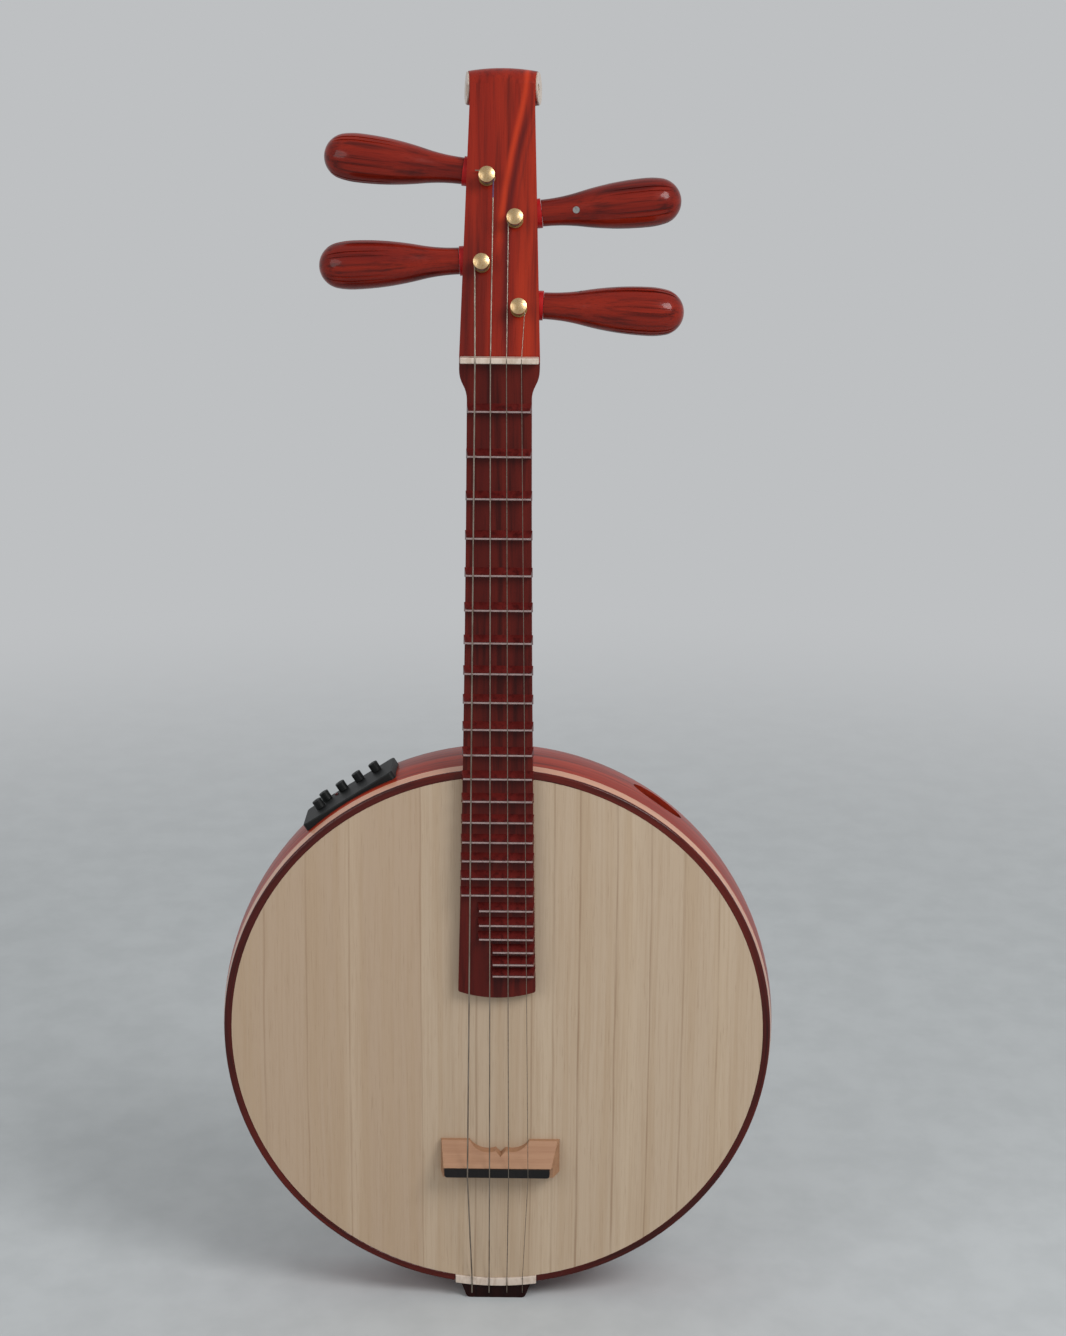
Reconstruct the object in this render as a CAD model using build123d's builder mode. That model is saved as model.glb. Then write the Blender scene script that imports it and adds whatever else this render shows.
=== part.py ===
from build123d import *
import os
from math import asin, atan, cos, degrees, pi, radians, sin, sqrt, tan

# A zhongruan: a round hollow body on a tail block, a long neck with 24 frets, a raked head with four
# geared pegs, and a preamp with five knobs let into the side. It stands upright, its face towards -Y.
# The origin is the centre of the tail block's flat bottom. All sizes are in millimetres.

os.makedirs("parts", exist_ok=True)

# Fits
wood_fit = 0.1
running_fit = 0.06
turning_gap = 0.3

# How far a cutter runs past what it cuts
overcut = 10.0

# Body
soundboard_radius = 213.2
soundboard_thickness = 8.0
rim_radius = 219.0
rim_swell = 3.3
body_depth = 78.0
board_ledge = 8.0
back_thickness = 6.0
binding_depth = 2.4
binding_round = 1.6
binding_inner_round = 0.5
strip_end = 12.0
back_binding_depth = 2.4
sound_hole_angle = 54.9
sound_hole_depth = 48.5
sound_hole_length = 47.0
sound_hole_width = 28.0
brace_width = 10.0
brace_height = 14.0
front_brace_heights = [75.0, -40.0, -150.0]
back_brace_heights = [60.0, -90.0]
sound_post_radius = 4.0
sound_post_x = 20.0
sound_post_height = -103.0
neck_block_width = 70.0
neck_block_start = 165.0
tail_inner_width = 60.0
tail_inner_height = 30.0

# Tail block and the bone piece in the front binding
tail_block_setback = 1.0
tail_block_length = 50.0
tail_block_height = 12.5
tail_block_top_width = 59.0
tail_block_top_drop = 216.0
tail_block_bottom_width = 47.0
tail_block_corner = 4.0
tail_saddle_width = 66.0
tail_saddle_radius = 220.2
tail_saddle_rise = 1.6
tail_saddle_round = 0.8
string_hole_height = 5.0
string_hole_radius = 1.1
anchor_hole_radius = 1.8
anchor_radius = 1.6
anchor_length = 3.0
anchor_depth = 10.0

# Strings, from the first at the photo's right to the fourth
scale_length = 650.1
bridge_bearing_drop = 109.6
string_diameters = [0.5, 0.75, 0.95, 1.2]
nut_spots = [16.7, 5.5, -6.6, -18.2]
bridge_spots = [26.0, 10.3, -5.0, -22.8]
tail_spots = [21.8, 9.1, -5.5, -19.5]
string_turns = [5, 4, 3, 3]
turn_gap = 0.5
string_tails = [1.0, 1.2, 9.0, 1.8]
string_rest_gap = 0.05
first_turn_height = 8.2
tail_bend = 2.0
rest_bend = 8.0

# Bridge
bridge_neck_edge = 18.6
bridge_edge_height = 4.0
bridge_height = 17.0
bridge_shelf_height = 13.0
bridge_tail_edge = 9.4
bridge_left_foot = -45.0
bridge_left_top = -41.8
bridge_right_foot = 51.2
bridge_right_top = 43.7
cutout_left = -21.8
cutout_right = 26.9
cutout_run = 0.55
cutout_fall = 0.83
cutout_cusp = 3.5
cusp_half = 4.0
cutout_depth = 7.0
cusp_depth = 11.0
saddle_height = 19.0
saddle_width = 7.4
saddle_start = 0.3
saddle_left = -41.6
saddle_right = 43.4
saddle_corner = 2.5
saddle_round = 0.4

# Fingerboard, frets and nut
fingerboard_thickness = 8.5
fingerboard_end = 33.0
fingerboard_end_side = 38.0
fingerboard_end_half = 30.8
fingerboard_mid = 290.0
fingerboard_mid_half = 26.4
waist_below_nut = 28.5
waist_half = 24.6
flare_below_nut = 5.5
flare_half = 30.5
fingerboard_corner = 2.0
fret_count = 24
full_frets = 18
middle_frets = 21
middle_fret_left = -15.5
last_fret_left = -4.6
ridge_height = 14.2
ridge_slope = 5.5
ridge_back = 2.1
fret_wire_width = 1.8
fret_wire_height = 1.2
ridge_end_taper = 12.0
ridge_step_margin = 7.15
nut_half = 29.8
nut_thickness = 4.6
nut_string_height = 16.6
nut_height = 17.2
nut_corner = 1.5
nut_round = 1.0

# Neck
neck_thickness = 22.5
neck_round = 13.0
heel_depth = 60.0
heel_start = 270.0
heel_end = 222.0
tenon_half = 13.0
tenon_front = 14.0
tenon_back = 54.0
tenon_reach = 185.0
tenon_shoulder = 1.0

# Head
head_rake = 17.0
head_face_height = 7.0
head_break = 5.5
head_foot_half = 30.5
head_top_half = 24.9
head_taper_end = 193.0
head_thickness = 30.0
head_top_thickness = 25.5
head_back_end = 192.0
scroll_up = 208.2
scroll_radius = 15.2
scroll_end_radius = 12.8
scroll_end_x = 27.0
scroll_flare = 8.0
disc_radius = 12.4
disc_thickness = 2.2
disc_recess = 1.2
disc_eye_radius = 5.0
disc_eye_up = -2.5
disc_eye_out = -4.5
pocket_start = 20.0
pocket_end = 155.0
pocket_half = 20.0
head_wall = 9.0
cover_margin = 8.0
cover_half = 22.5
cover_thickness = 3.0
cover_screw_x = 16.0
cover_screw_radius = 1.2
cover_screw_head_radius = 2.6
cover_screw_head = 1.0
cover_screw_length = 8.0
cover_screw_slot_width = 0.7
cover_screw_slot_depth = 0.5

# Tuning machines, numbered like the strings: where each post stands on the head's face and how far
# its peg's outer end is tipped up
post_spots = [(14.2, 35.2), (10.6, 103.2), (-10.9, 135.3), (-14.2, 69.0)]
peg_tips = [-2.7, 6.3, 6.7, -2.7]
cap_radius = 6.1
cap_bottom = 11.0
cap_edge = 13.3
cap_top = 14.4
spool_radius = 4.2
spool_bottom = 1.8
post_radius = 3.0
wheel_seat_radius = 2.2
journal_radius = 1.5
bushing_flange_radius = 6.3
bushing_flange = 1.5
bushing_radius = 4.2
gear_depth = 15.0
gear_distance = 6.5
wheel_teeth = 12
wheel_radius = 4.8
wheel_thickness = 3.5
thread_radius = 1.95
thread_wire = 0.6
slot_radius = 0.72
slot_flare = 1.15
slot_mouth = 1.3
worm_turns = 3.75
worm_core_radius = 1.5
inner_journal_end = -11.5
shaft_start = 6.0
shaft_radius = 2.5
shaft_reach = 45.0
bracket_thickness = 2.0
bracket_plate_out = -19.0
bracket_half = 9.5
bracket_leg_inner = 7.5
bracket_outer_x = 4.5
lug_inner_x = -11.0
lug_outer_x = -8.0
lug_start = 2.9
collar_radius = 11.25
collar_height = 3.2
collar_sink = 0.9

# Peg handles, measured from the handle's foot along its axis
handle_foot_radius = 10.2
handle_foot_slope = 0.17
handle_bend_at = 30.0
handle_bend_radius = 13.3
handle_crest_at = 80.0
handle_crest_radius = 18.6
handle_shoulder_at = 93.0
handle_shoulder_radius = 17.17
handle_length = 106.8
groove_count = 6
groove_width = 1.5
groove_depth = 0.7
groove_half_gap = 6.4
groove_start_at = 33.0
groove_start_lift = 1.6
groove_end_at = 105.8
groove_end_radius = 9.2
groove_phases = [10.0, -20.0, -22.0, 14.0]
grub_at = 26.0
grub_radius = 2.6
grub_hole_clearance = 0.1
grub_hole_bottom = 1.5
grub_sink = 0.5
grub_socket_radius = 1.3
grub_socket_depth = 1.4
grub_angles = [70.0, -13.0, 120.0, 95.0]

# Preamp
preamp_angle = 122.8
panel_radius = 224.0
panel_start = -41.0
panel_end = 43.0
panel_front = 19.0
panel_back = 64.0
panel_corner = 4.0
panel_round = 1.0
preamp_box_length = 72.0
preamp_box_width = 36.0
preamp_box_bottom = 177.0
knob_spots = [(-25.3, 41.5), (-20.1, 54.8), (-4.4, 54.3), (11.1, 53.6), (27.4, 51.0)]
knob_radius = 4.0
knob_height = 7.4
knob_gap = 0.4
knob_round = 0.5
knob_stem_radius = 1.5
knob_stem_depth = 6.0
knob_mark_width = 0.7
knob_mark_depth = 0.4
lamp_spot = (-11.7, 54.6)
lamp_radius = 1.6
lamp_rise = 1.4
lamp_depth = 3.0
lamp_round = 0.8
pickup_length = 80.0
pickup_width = 5.0
pickup_thickness = 2.0
pickup_height = -115.0

# Places that follow from the sizes
front_y = -(tail_block_setback + tail_block_length / 2)
body_centre_z = rim_radius + tail_block_height
rim_inner_radius = soundboard_radius - board_ledge
bridge_bearing_z = body_centre_z - bridge_bearing_drop
nut_z = bridge_bearing_z + scale_length
rim_outline_radius = rim_radius + rim_swell + 1.0
fret_heights = [bridge_bearing_z + scale_length * 2 ** (-n / 12) for n in range(1, fret_count + 1)]


def body_plane(depth):
    """Square to the body's axis, at a depth behind the soundboard's face, looking out of the front."""
    return Plane(origin=(0, front_y + depth, body_centre_z), x_dir=(1, 0, 0), z_dir=(0, -1, 0))


def board_plane(height):
    """The same direction, at a height above the soundboard, with local y equal to z."""
    return Plane(origin=(0, front_y - height, 0), x_dir=(1, 0, 0), z_dir=(0, -1, 0))


def rim_plane(angle, radius):
    """Square to a radius of the body: local x runs along the rim, local y is the depth."""
    out = Vector(cos(radians(angle)), 0, sin(radians(angle)))
    middle = Vector(0, front_y, body_centre_z) + out * radius
    return Plane(origin=middle, x_dir=(out.Z, 0, -out.X), z_dir=out)


# Side sections: (depth, radius) about the body's axis, and (z, height above the soundboard)
section_plane = Plane(origin=(0, front_y, body_centre_z), x_dir=(0, 1, 0), z_dir=(1, 0, 0))
side_plane = Plane(origin=(0, front_y, 0), x_dir=(0, 0, 1), z_dir=(1, 0, 0))
body_axis = Axis((0, front_y, body_centre_z), (0, 1, 0))

# The head's own directions: up its face and out of its face
head_up = Vector(0, sin(radians(head_rake)), cos(radians(head_rake)))
head_out = Vector(0, -cos(radians(head_rake)), sin(radians(head_rake)))
head_origin = Vector(0, front_y - head_face_height, nut_z + head_break)
head_plane = Plane(origin=head_origin, x_dir=(1, 0, 0), z_dir=head_out)
head_side_plane = Plane(origin=head_origin, x_dir=head_up, z_dir=(1, 0, 0))


def head_point(x, up, out):
    """A point in the head's own directions."""
    return head_origin + Vector(x, 0, 0) + head_up * up + head_out * out


def name_and_write(piece, name):
    """Label a finished piece and write its file."""
    piece.label = name
    export_step(piece, f"parts/{name}.step")


# Body

# The outside of the whole body: a barrel whose side swells at mid depth
with BuildPart() as body_envelope:
    with BuildSketch(section_plane):
        with BuildLine():
            ThreePointArc(
                (0, rim_radius), (body_depth / 2, rim_radius + rim_swell), (body_depth, rim_radius)
            )
            Polyline((body_depth, rim_radius), (body_depth, 0), (0, 0), (0, rim_radius))
        make_face()
    revolve(axis=body_axis)

with BuildPart() as soundboard:
    with BuildSketch(body_plane(0)):
        Circle(soundboard_radius)
    extrude(amount=-soundboard_thickness)
name_and_write(soundboard.part, "soundboard")

# The front binding stops at the bone piece that the strings bend over
with BuildPart() as front_binding:
    with BuildSketch(body_plane(0)):
        Circle(rim_outline_radius)
        Circle(soundboard_radius, mode=Mode.SUBTRACT)
    extrude(amount=-binding_depth)
    add(body_envelope.part, mode=Mode.INTERSECT)
    front_circles = front_binding.edges().filter_by(GeomType.CIRCLE).group_by(Axis.Y)[0]
    fillet(front_circles.sort_by(SortBy.RADIUS)[-1], binding_round)
    front_circles = front_binding.edges().filter_by(GeomType.CIRCLE).group_by(Axis.Y)[0]
    fillet(front_circles.sort_by(SortBy.RADIUS)[0], binding_inner_round)
    with BuildSketch(body_plane(0)):
        with Locations((0, -rim_radius)):
            Rectangle(tail_saddle_width + 2 * wood_fit, 2 * (rim_radius - soundboard_radius + overcut))
    extrude(amount=-binding_depth, mode=Mode.SUBTRACT)
name_and_write(front_binding.part, "front_binding")

with BuildPart() as edge_strip:
    with BuildSketch(body_plane(binding_depth)):
        Circle(rim_outline_radius)
        Circle(soundboard_radius, mode=Mode.SUBTRACT)
    extrude(amount=-(strip_end - binding_depth))
    add(body_envelope.part, mode=Mode.INTERSECT)
name_and_write(edge_strip.part, "edge_strip")

# One heavy ring carries both boards on its ledges
back_face = body_depth - back_thickness
with BuildPart() as side_rim:
    with BuildSketch(section_plane):
        with BuildLine():
            Polyline(
                (soundboard_thickness, rim_inner_radius),
                (back_face, rim_inner_radius),
                (back_face, soundboard_radius),
                (body_depth - back_binding_depth, soundboard_radius),
                (body_depth - back_binding_depth, rim_outline_radius),
                (strip_end, rim_outline_radius),
                (strip_end, soundboard_radius),
                (soundboard_thickness, soundboard_radius),
                close=True,
            )
        make_face()
    revolve(axis=body_axis)
    add(body_envelope.part, mode=Mode.INTERSECT)
    with BuildSketch(rim_plane(sound_hole_angle, rim_inner_radius)):
        with Locations((0, sound_hole_depth)):
            Ellipse(sound_hole_length / 2, sound_hole_width / 2)
    extrude(amount=2 * (rim_outline_radius - rim_inner_radius), both=True, mode=Mode.SUBTRACT)
    with BuildSketch(rim_plane(preamp_angle, rim_inner_radius)):
        with Locations(((panel_start + panel_end) / 2, (panel_front + panel_back) / 2)):
            Rectangle(preamp_box_length + 2 * wood_fit, preamp_box_width + 2 * wood_fit)
    extrude(amount=2 * (rim_outline_radius - rim_inner_radius), both=True, mode=Mode.SUBTRACT)
    with BuildSketch(Plane.XY.offset(body_centre_z + tenon_reach)):
        with Locations((0, front_y + (tenon_front + tenon_back) / 2)):
            Rectangle(2 * (tenon_half + wood_fit), tenon_back - tenon_front + 2 * wood_fit)
    extrude(amount=rim_outline_radius - tenon_reach, mode=Mode.SUBTRACT)
name_and_write(side_rim.part, "side_rim")

with BuildPart() as back_board:
    with BuildSketch(body_plane(back_face)):
        Circle(soundboard_radius)
    extrude(amount=-back_thickness)
name_and_write(back_board.part, "back_board")

with BuildPart() as back_binding:
    with BuildSketch(body_plane(body_depth - back_binding_depth)):
        Circle(rim_outline_radius)
        Circle(soundboard_radius, mode=Mode.SUBTRACT)
    extrude(amount=-back_binding_depth)
    add(body_envelope.part, mode=Mode.INTERSECT)
    back_circles = back_binding.edges().filter_by(GeomType.CIRCLE).group_by(Axis.Y)[-1]
    fillet(back_circles.sort_by(SortBy.RADIUS)[-1], binding_round)
name_and_write(back_binding.part, "back_binding")

with BuildPart() as soundboard_braces:
    with BuildSketch(body_plane(soundboard_thickness)):
        for height in front_brace_heights:
            with Locations((0, height)):
                Rectangle(2 * rim_inner_radius, brace_width)
        Circle(rim_inner_radius - wood_fit, mode=Mode.INTERSECT)
    extrude(amount=-brace_height)
name_and_write(soundboard_braces.part, "soundboard_braces")

with BuildPart() as back_braces:
    with BuildSketch(body_plane(back_face)):
        for height in back_brace_heights:
            with Locations((0, height)):
                Rectangle(2 * rim_inner_radius, brace_width)
        Circle(rim_inner_radius - wood_fit, mode=Mode.INTERSECT)
    extrude(amount=brace_height)
name_and_write(back_braces.part, "back_braces")

with BuildPart() as sound_post:
    with BuildSketch(body_plane(soundboard_thickness)):
        with Locations((sound_post_x, sound_post_height)):
            Circle(sound_post_radius)
    extrude(amount=-(back_face - soundboard_thickness))
name_and_write(sound_post.part, "sound_post")

with BuildPart() as neck_block:
    with BuildSketch(body_plane(soundboard_thickness)):
        with Locations((0, neck_block_start)):
            Rectangle(neck_block_width, rim_inner_radius, align=(Align.CENTER, Align.MIN))
        Circle(rim_inner_radius, mode=Mode.INTERSECT)
    extrude(amount=-(back_face - soundboard_thickness))
    with BuildSketch(Plane.XY.offset(body_centre_z + tenon_reach)):
        with Locations((0, front_y + (tenon_front + tenon_back) / 2)):
            Rectangle(2 * (tenon_half + wood_fit), tenon_back - tenon_front + 2 * wood_fit)
    extrude(amount=rim_outline_radius - tenon_reach, mode=Mode.SUBTRACT)
name_and_write(neck_block.part, "neck_block")

with BuildPart() as tail_inner_block:
    with BuildSketch(body_plane(soundboard_thickness)):
        with Locations((0, tail_inner_height - rim_inner_radius)):
            Rectangle(tail_inner_width, rim_inner_radius, align=(Align.CENTER, Align.MAX))
        Circle(rim_inner_radius, mode=Mode.INTERSECT)
    extrude(amount=-(back_face - soundboard_thickness))
name_and_write(tail_inner_block.part, "tail_inner_block")

# Tail

with BuildPart() as tail_saddle:
    with BuildSketch(body_plane(-tail_saddle_rise)):
        with Locations((0, -rim_radius)):
            Rectangle(tail_saddle_width, 2 * (rim_radius - soundboard_radius + overcut))
        Circle(tail_saddle_radius, mode=Mode.INTERSECT)
        Circle(soundboard_radius + wood_fit, mode=Mode.SUBTRACT)
    extrude(amount=-(binding_depth + tail_saddle_rise))
    fillet(tail_saddle.faces().sort_by(Axis.Y)[0].edges(), tail_saddle_round)
name_and_write(tail_saddle.part, "tail_saddle")

# The block hugs the rim, and the strings pass through it to their anchors
with BuildPart() as tail_block:
    with BuildSketch(body_plane(tail_block_setback)):
        with BuildLine():
            Polyline(
                (-tail_block_bottom_width / 2, -body_centre_z),
                (tail_block_bottom_width / 2, -body_centre_z),
                (tail_block_top_width / 2, -tail_block_top_drop),
                (tail_block_top_width / 2, -rim_inner_radius),
                (-tail_block_top_width / 2, -rim_inner_radius),
                (-tail_block_top_width / 2, -tail_block_top_drop),
                close=True,
            )
        make_face()
    extrude(amount=-tail_block_length)
    fillet(tail_block.edges().filter_by(Axis.Y).group_by(Axis.Z)[0], tail_block_corner)
    add(body_envelope.part, mode=Mode.SUBTRACT)
    with BuildSketch(body_plane(binding_depth + string_rest_gap)):
        Circle(tail_saddle_radius + string_rest_gap)
    extrude(amount=2 * binding_depth, mode=Mode.SUBTRACT)
    with BuildSketch(board_plane(-tail_block_setback)):
        with Locations(*[(x, string_hole_height) for x in tail_spots]):
            Circle(string_hole_radius)
    extrude(amount=-tail_block_length, mode=Mode.SUBTRACT)
    with BuildSketch(board_plane(-(tail_block_setback + anchor_depth))):
        with Locations(*[(x, string_hole_height) for x in tail_spots]):
            Circle(anchor_hole_radius)
    extrude(amount=-tail_block_length, mode=Mode.SUBTRACT)
name_and_write(tail_block.part, "tail_block")

with BuildPart() as string_anchors:
    with BuildSketch(board_plane(-(tail_block_setback + anchor_depth))):
        with Locations(*[(x, string_hole_height) for x in tail_spots]):
            Circle(anchor_radius)
    extrude(amount=-anchor_length)
name_and_write(string_anchors.part, "string_anchors")

# Bridge

bridge_neck_z = bridge_bearing_z + bridge_neck_edge
bridge_tail_z = bridge_bearing_z - bridge_tail_edge
saddle_neck_z = bridge_bearing_z - saddle_start

with BuildPart() as bridge:
    with BuildSketch(side_plane):
        with BuildLine():
            Polyline(
                (bridge_neck_z, 0),
                (bridge_neck_z, bridge_edge_height),
                (saddle_neck_z, bridge_height),
                (saddle_neck_z, bridge_shelf_height),
                (bridge_tail_z, bridge_shelf_height),
                (bridge_tail_z, 0),
                close=True,
            )
        make_face()
    extrude(amount=bridge_right_foot + overcut, both=True)
    with BuildSketch(Plane.XY.offset(bridge_tail_z)):
        with BuildLine():
            Polyline(
                (bridge_left_foot, front_y),
                (bridge_right_foot, front_y),
                (bridge_right_top, front_y - saddle_height),
                (bridge_left_top, front_y - saddle_height),
                close=True,
            )
        make_face()
    extrude(amount=bridge_neck_z - bridge_tail_z, mode=Mode.INTERSECT)
    with BuildSketch(board_plane(0)):
        with BuildLine():
            left_bay = TangentArc(
                (cutout_left, bridge_neck_z),
                (cutout_cusp - cusp_half, bridge_neck_z - cutout_depth),
                tangent=(cutout_run, -cutout_fall),
            )
            Polyline(
                left_bay @ 1,
                (cutout_cusp, bridge_neck_z - cusp_depth),
                (cutout_cusp + cusp_half, bridge_neck_z - cutout_depth),
            )
            TangentArc(
                (cutout_right, bridge_neck_z),
                (cutout_cusp + cusp_half, bridge_neck_z - cutout_depth),
                tangent=(-cutout_run, -cutout_fall),
            )
            Polyline(
                (cutout_right, bridge_neck_z),
                (cutout_right, bridge_neck_z + overcut),
                (cutout_left, bridge_neck_z + overcut),
                (cutout_left, bridge_neck_z),
            )
        make_face()
    extrude(amount=bridge_height, mode=Mode.SUBTRACT)
name_and_write(bridge.part, "bridge")

with BuildPart() as bridge_saddle:
    with BuildSketch(board_plane(bridge_shelf_height)):
        with Locations(((saddle_left + saddle_right) / 2, saddle_neck_z - saddle_width / 2)):
            Rectangle(saddle_right - saddle_left, saddle_width)
    extrude(amount=saddle_height - bridge_shelf_height)
    fillet(bridge_saddle.edges().filter_by(Axis.Y).group_by(Axis.Z)[0], saddle_corner)
    fillet(bridge_saddle.faces().sort_by(Axis.Y)[0].edges(), saddle_round)
name_and_write(bridge_saddle.part, "bridge_saddle")

# Fingerboard and frets

with BuildSketch(board_plane(0)) as fingerboard_outline:
    with BuildLine():
        long_side = ThreePointArc(
            (fingerboard_end_half, body_centre_z + fingerboard_end_side),
            (fingerboard_mid_half, body_centre_z + fingerboard_mid),
            (waist_half, nut_z - waist_below_nut),
        )
        into_flare = TangentArc(
            long_side @ 1,
            ((waist_half + flare_half) / 2, nut_z - (waist_below_nut + flare_below_nut) / 2),
            tangent=long_side % 1,
        )
        out_of_flare = TangentArc(
            into_flare @ 1, (flare_half, nut_z - flare_below_nut), tangent=into_flare % 1
        )
        Polyline(out_of_flare @ 1, (flare_half, nut_z), (0, nut_z))
        mirror(about=Plane.YZ)
        ThreePointArc(
            (-fingerboard_end_half, body_centre_z + fingerboard_end_side),
            (0, body_centre_z + fingerboard_end),
            (fingerboard_end_half, body_centre_z + fingerboard_end_side),
        )
    make_face()
    fillet(fingerboard_outline.vertices().group_by(Axis.Y)[0], fingerboard_corner)

with BuildPart() as fingerboard:
    extrude(fingerboard_outline.sketch, amount=fingerboard_thickness)
name_and_write(fingerboard.part, "fingerboard")


def board_half(z):
    """Half the fingerboard's width at a height, by straight lines through its three widths."""
    up = z - body_centre_z
    if up < fingerboard_mid:
        share = (up - fingerboard_end_side) / (fingerboard_mid - fingerboard_end_side)
        return fingerboard_end_half + (fingerboard_mid_half - fingerboard_end_half) * share
    waist_up = nut_z - waist_below_nut - body_centre_z
    share = (up - fingerboard_mid) / (waist_up - fingerboard_mid)
    return fingerboard_mid_half + (waist_half - fingerboard_mid_half) * share


# The ridges' ends lean inwards, and the last ones cross only the right part of the board
first_top = fret_heights[0] + ridge_step_margin
first_step = fret_heights[full_frets] + ridge_step_margin
second_step = fret_heights[middle_frets] + ridge_step_margin
last_bottom = fret_heights[-1] - ridge_step_margin
with BuildPart() as ridge_space:
    for top, bottom, left in [
        (first_top, first_step, None),
        (first_step, second_step, middle_fret_left),
        (second_step, last_bottom, last_fret_left),
    ]:
        with BuildSketch(board_plane(fingerboard_thickness)):
            with BuildLine():
                Polyline(
                    (left if left else -board_half(bottom), bottom),
                    (board_half(bottom), bottom),
                    (board_half(top), top),
                    (left if left else -board_half(top), top),
                    close=True,
                )
            make_face()
        extrude(amount=ridge_height + fret_wire_height, taper=ridge_end_taper)

with BuildPart() as fret_ridges:
    with BuildSketch(side_plane):
        for z in fret_heights:
            with BuildLine():
                Polyline(
                    (z + ridge_slope, fingerboard_thickness),
                    (z + fret_wire_width / 2, ridge_height),
                    (z - fret_wire_width / 2, ridge_height),
                    (z - ridge_back, fingerboard_thickness),
                    close=True,
                )
            make_face()
    extrude(amount=2 * fingerboard_end_half, both=True)
    add(ridge_space.part, mode=Mode.INTERSECT)
name_and_write(fret_ridges.part, "fret_ridges")

with BuildPart() as fret_wires:
    with BuildSketch(side_plane):
        for z in fret_heights:
            with BuildLine():
                Line((z - fret_wire_width / 2, ridge_height), (z + fret_wire_width / 2, ridge_height))
                ThreePointArc(
                    (z + fret_wire_width / 2, ridge_height),
                    (z, ridge_height + fret_wire_height),
                    (z - fret_wire_width / 2, ridge_height),
                )
            make_face()
    extrude(amount=2 * fingerboard_end_half, both=True)
    add(ridge_space.part, mode=Mode.INTERSECT)
name_and_write(fret_wires.part, "fret_wires")

# Nut

with BuildPart() as nut:
    with BuildSketch(board_plane(head_face_height)):
        with Locations((0, nut_z + nut_thickness / 2)):
            Rectangle(2 * nut_half, nut_thickness)
    extrude(amount=nut_height - head_face_height)
    fillet(nut.edges().filter_by(Axis.Z).group_by(Axis.Y)[0], nut_corner)
    fillet(nut.faces().sort_by(Axis.Y)[0].edges().filter_by(Axis.X), nut_round)
    for x, diameter in zip(nut_spots, string_diameters):
        with BuildSketch(Plane.XY.offset(nut_z)):
            with Locations((x, front_y - nut_string_height - diameter / 2)):
                Circle(diameter / 2 + string_rest_gap)
                with Locations((0, -diameter / 2)):
                    Rectangle(diameter + 2 * string_rest_gap, diameter)
        extrude(amount=nut_thickness, mode=Mode.SUBTRACT)
name_and_write(nut.part, "nut")

# Neck

# The heel's foot is drawn into the body and then cut away along the body's own curve
heel_foot_z = body_centre_z + heel_end - 3 * overcut
with BuildPart() as neck:
    extrude(fingerboard_outline.sketch, amount=-heel_depth)
    with BuildSketch(side_plane):
        with BuildLine():
            back_line = Polyline(
                (heel_foot_z, 0),
                (nut_z, 0),
                (nut_z, -neck_thickness),
                (body_centre_z + heel_start, -neck_thickness),
            )
            heel = TangentArc(
                back_line @ 1, (body_centre_z + heel_end, -heel_depth), tangent=back_line % 1
            )
            Polyline(
                heel @ 1,
                (heel_foot_z, -heel_depth),
                (heel_foot_z, 0),
            )
        make_face()
    extrude(amount=2 * fingerboard_end_half, both=True, mode=Mode.INTERSECT)
    back_edges = [
        edge
        for edge in neck.edges().filter_by(Axis.Y, reverse=True).filter_by(Axis.X, reverse=True)
        if edge.center().Y > front_y + neck_thickness - wood_fit
    ]
    fillet(back_edges, neck_round)
    add(body_envelope.part, mode=Mode.SUBTRACT)
    with BuildSketch(Plane.XY.offset(body_centre_z + tenon_reach)):
        with Locations((0, front_y + (tenon_front + tenon_back) / 2)):
            Rectangle(2 * tenon_half, tenon_back - tenon_front)
    extrude(amount=heel_end - tenon_reach - tenon_shoulder)
name_and_write(neck.part, "neck")

# Head

back_rise = atan((head_thickness - head_top_thickness) / head_back_end)
head_back_origin = head_point(0, 0, -head_thickness)
head_back_plane = Plane(
    origin=head_back_origin, x_dir=(-1, 0, 0), z_dir=head_up * sin(back_rise) - head_out * cos(back_rise)
)
scroll_centre = head_point(0, scroll_up, -scroll_radius)
scroll_half = head_top_half + scroll_radius * tan(radians(scroll_flare))


def scroll_end_plane(side):
    """The leaning end face of the scroll on one side, its origin on the roll's axis."""
    lean = radians(scroll_flare)
    out = Vector(side * cos(lean), 0, 0) + head_out * sin(lean)
    return Plane(origin=head_point(side * scroll_half, scroll_up, -scroll_radius), x_dir=head_up, z_dir=out)


def peg_direction(i):
    """Outwards along the axis of peg i."""
    tip = radians(peg_tips[i])
    return Vector(peg_side(i) * cos(tip), 0, 0) + head_up * sin(tip)


def peg_side(i):
    """+1 for a peg on the right, -1 on the left."""
    return 1 if post_spots[i][0] > 0 else -1


def machine_plane(i, out=0.0):
    """On the head's face at post i: local x runs outwards along the peg, z out of the face."""
    x, up = post_spots[i]
    return Plane(origin=head_point(x, up, out), x_dir=peg_direction(i), z_dir=head_out)


def post_section(i):
    """Holds the axis of post i: local (height above the face, radius)."""
    x, up = post_spots[i]
    return Plane(origin=head_point(x, up, 0), x_dir=head_out, z_dir=head_up)


def post_axis(i):
    """The axis of post i, out of the head's face."""
    x, up = post_spots[i]
    return Axis(head_point(x, up, 0), head_out)


def worm_point(i):
    """The point of the worm's axis beside the post."""
    across = head_out.cross(peg_direction(i))
    x, up = post_spots[i]
    return head_point(x, up, -gear_depth) + across * (peg_side(i) * gear_distance)


def axle_section(i):
    """Holds the axis of peg i, behind it: local (distance outwards, radius)."""
    return Plane(
        origin=worm_point(i), x_dir=peg_direction(i), z_dir=head_out.cross(peg_direction(i))
    )


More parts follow.
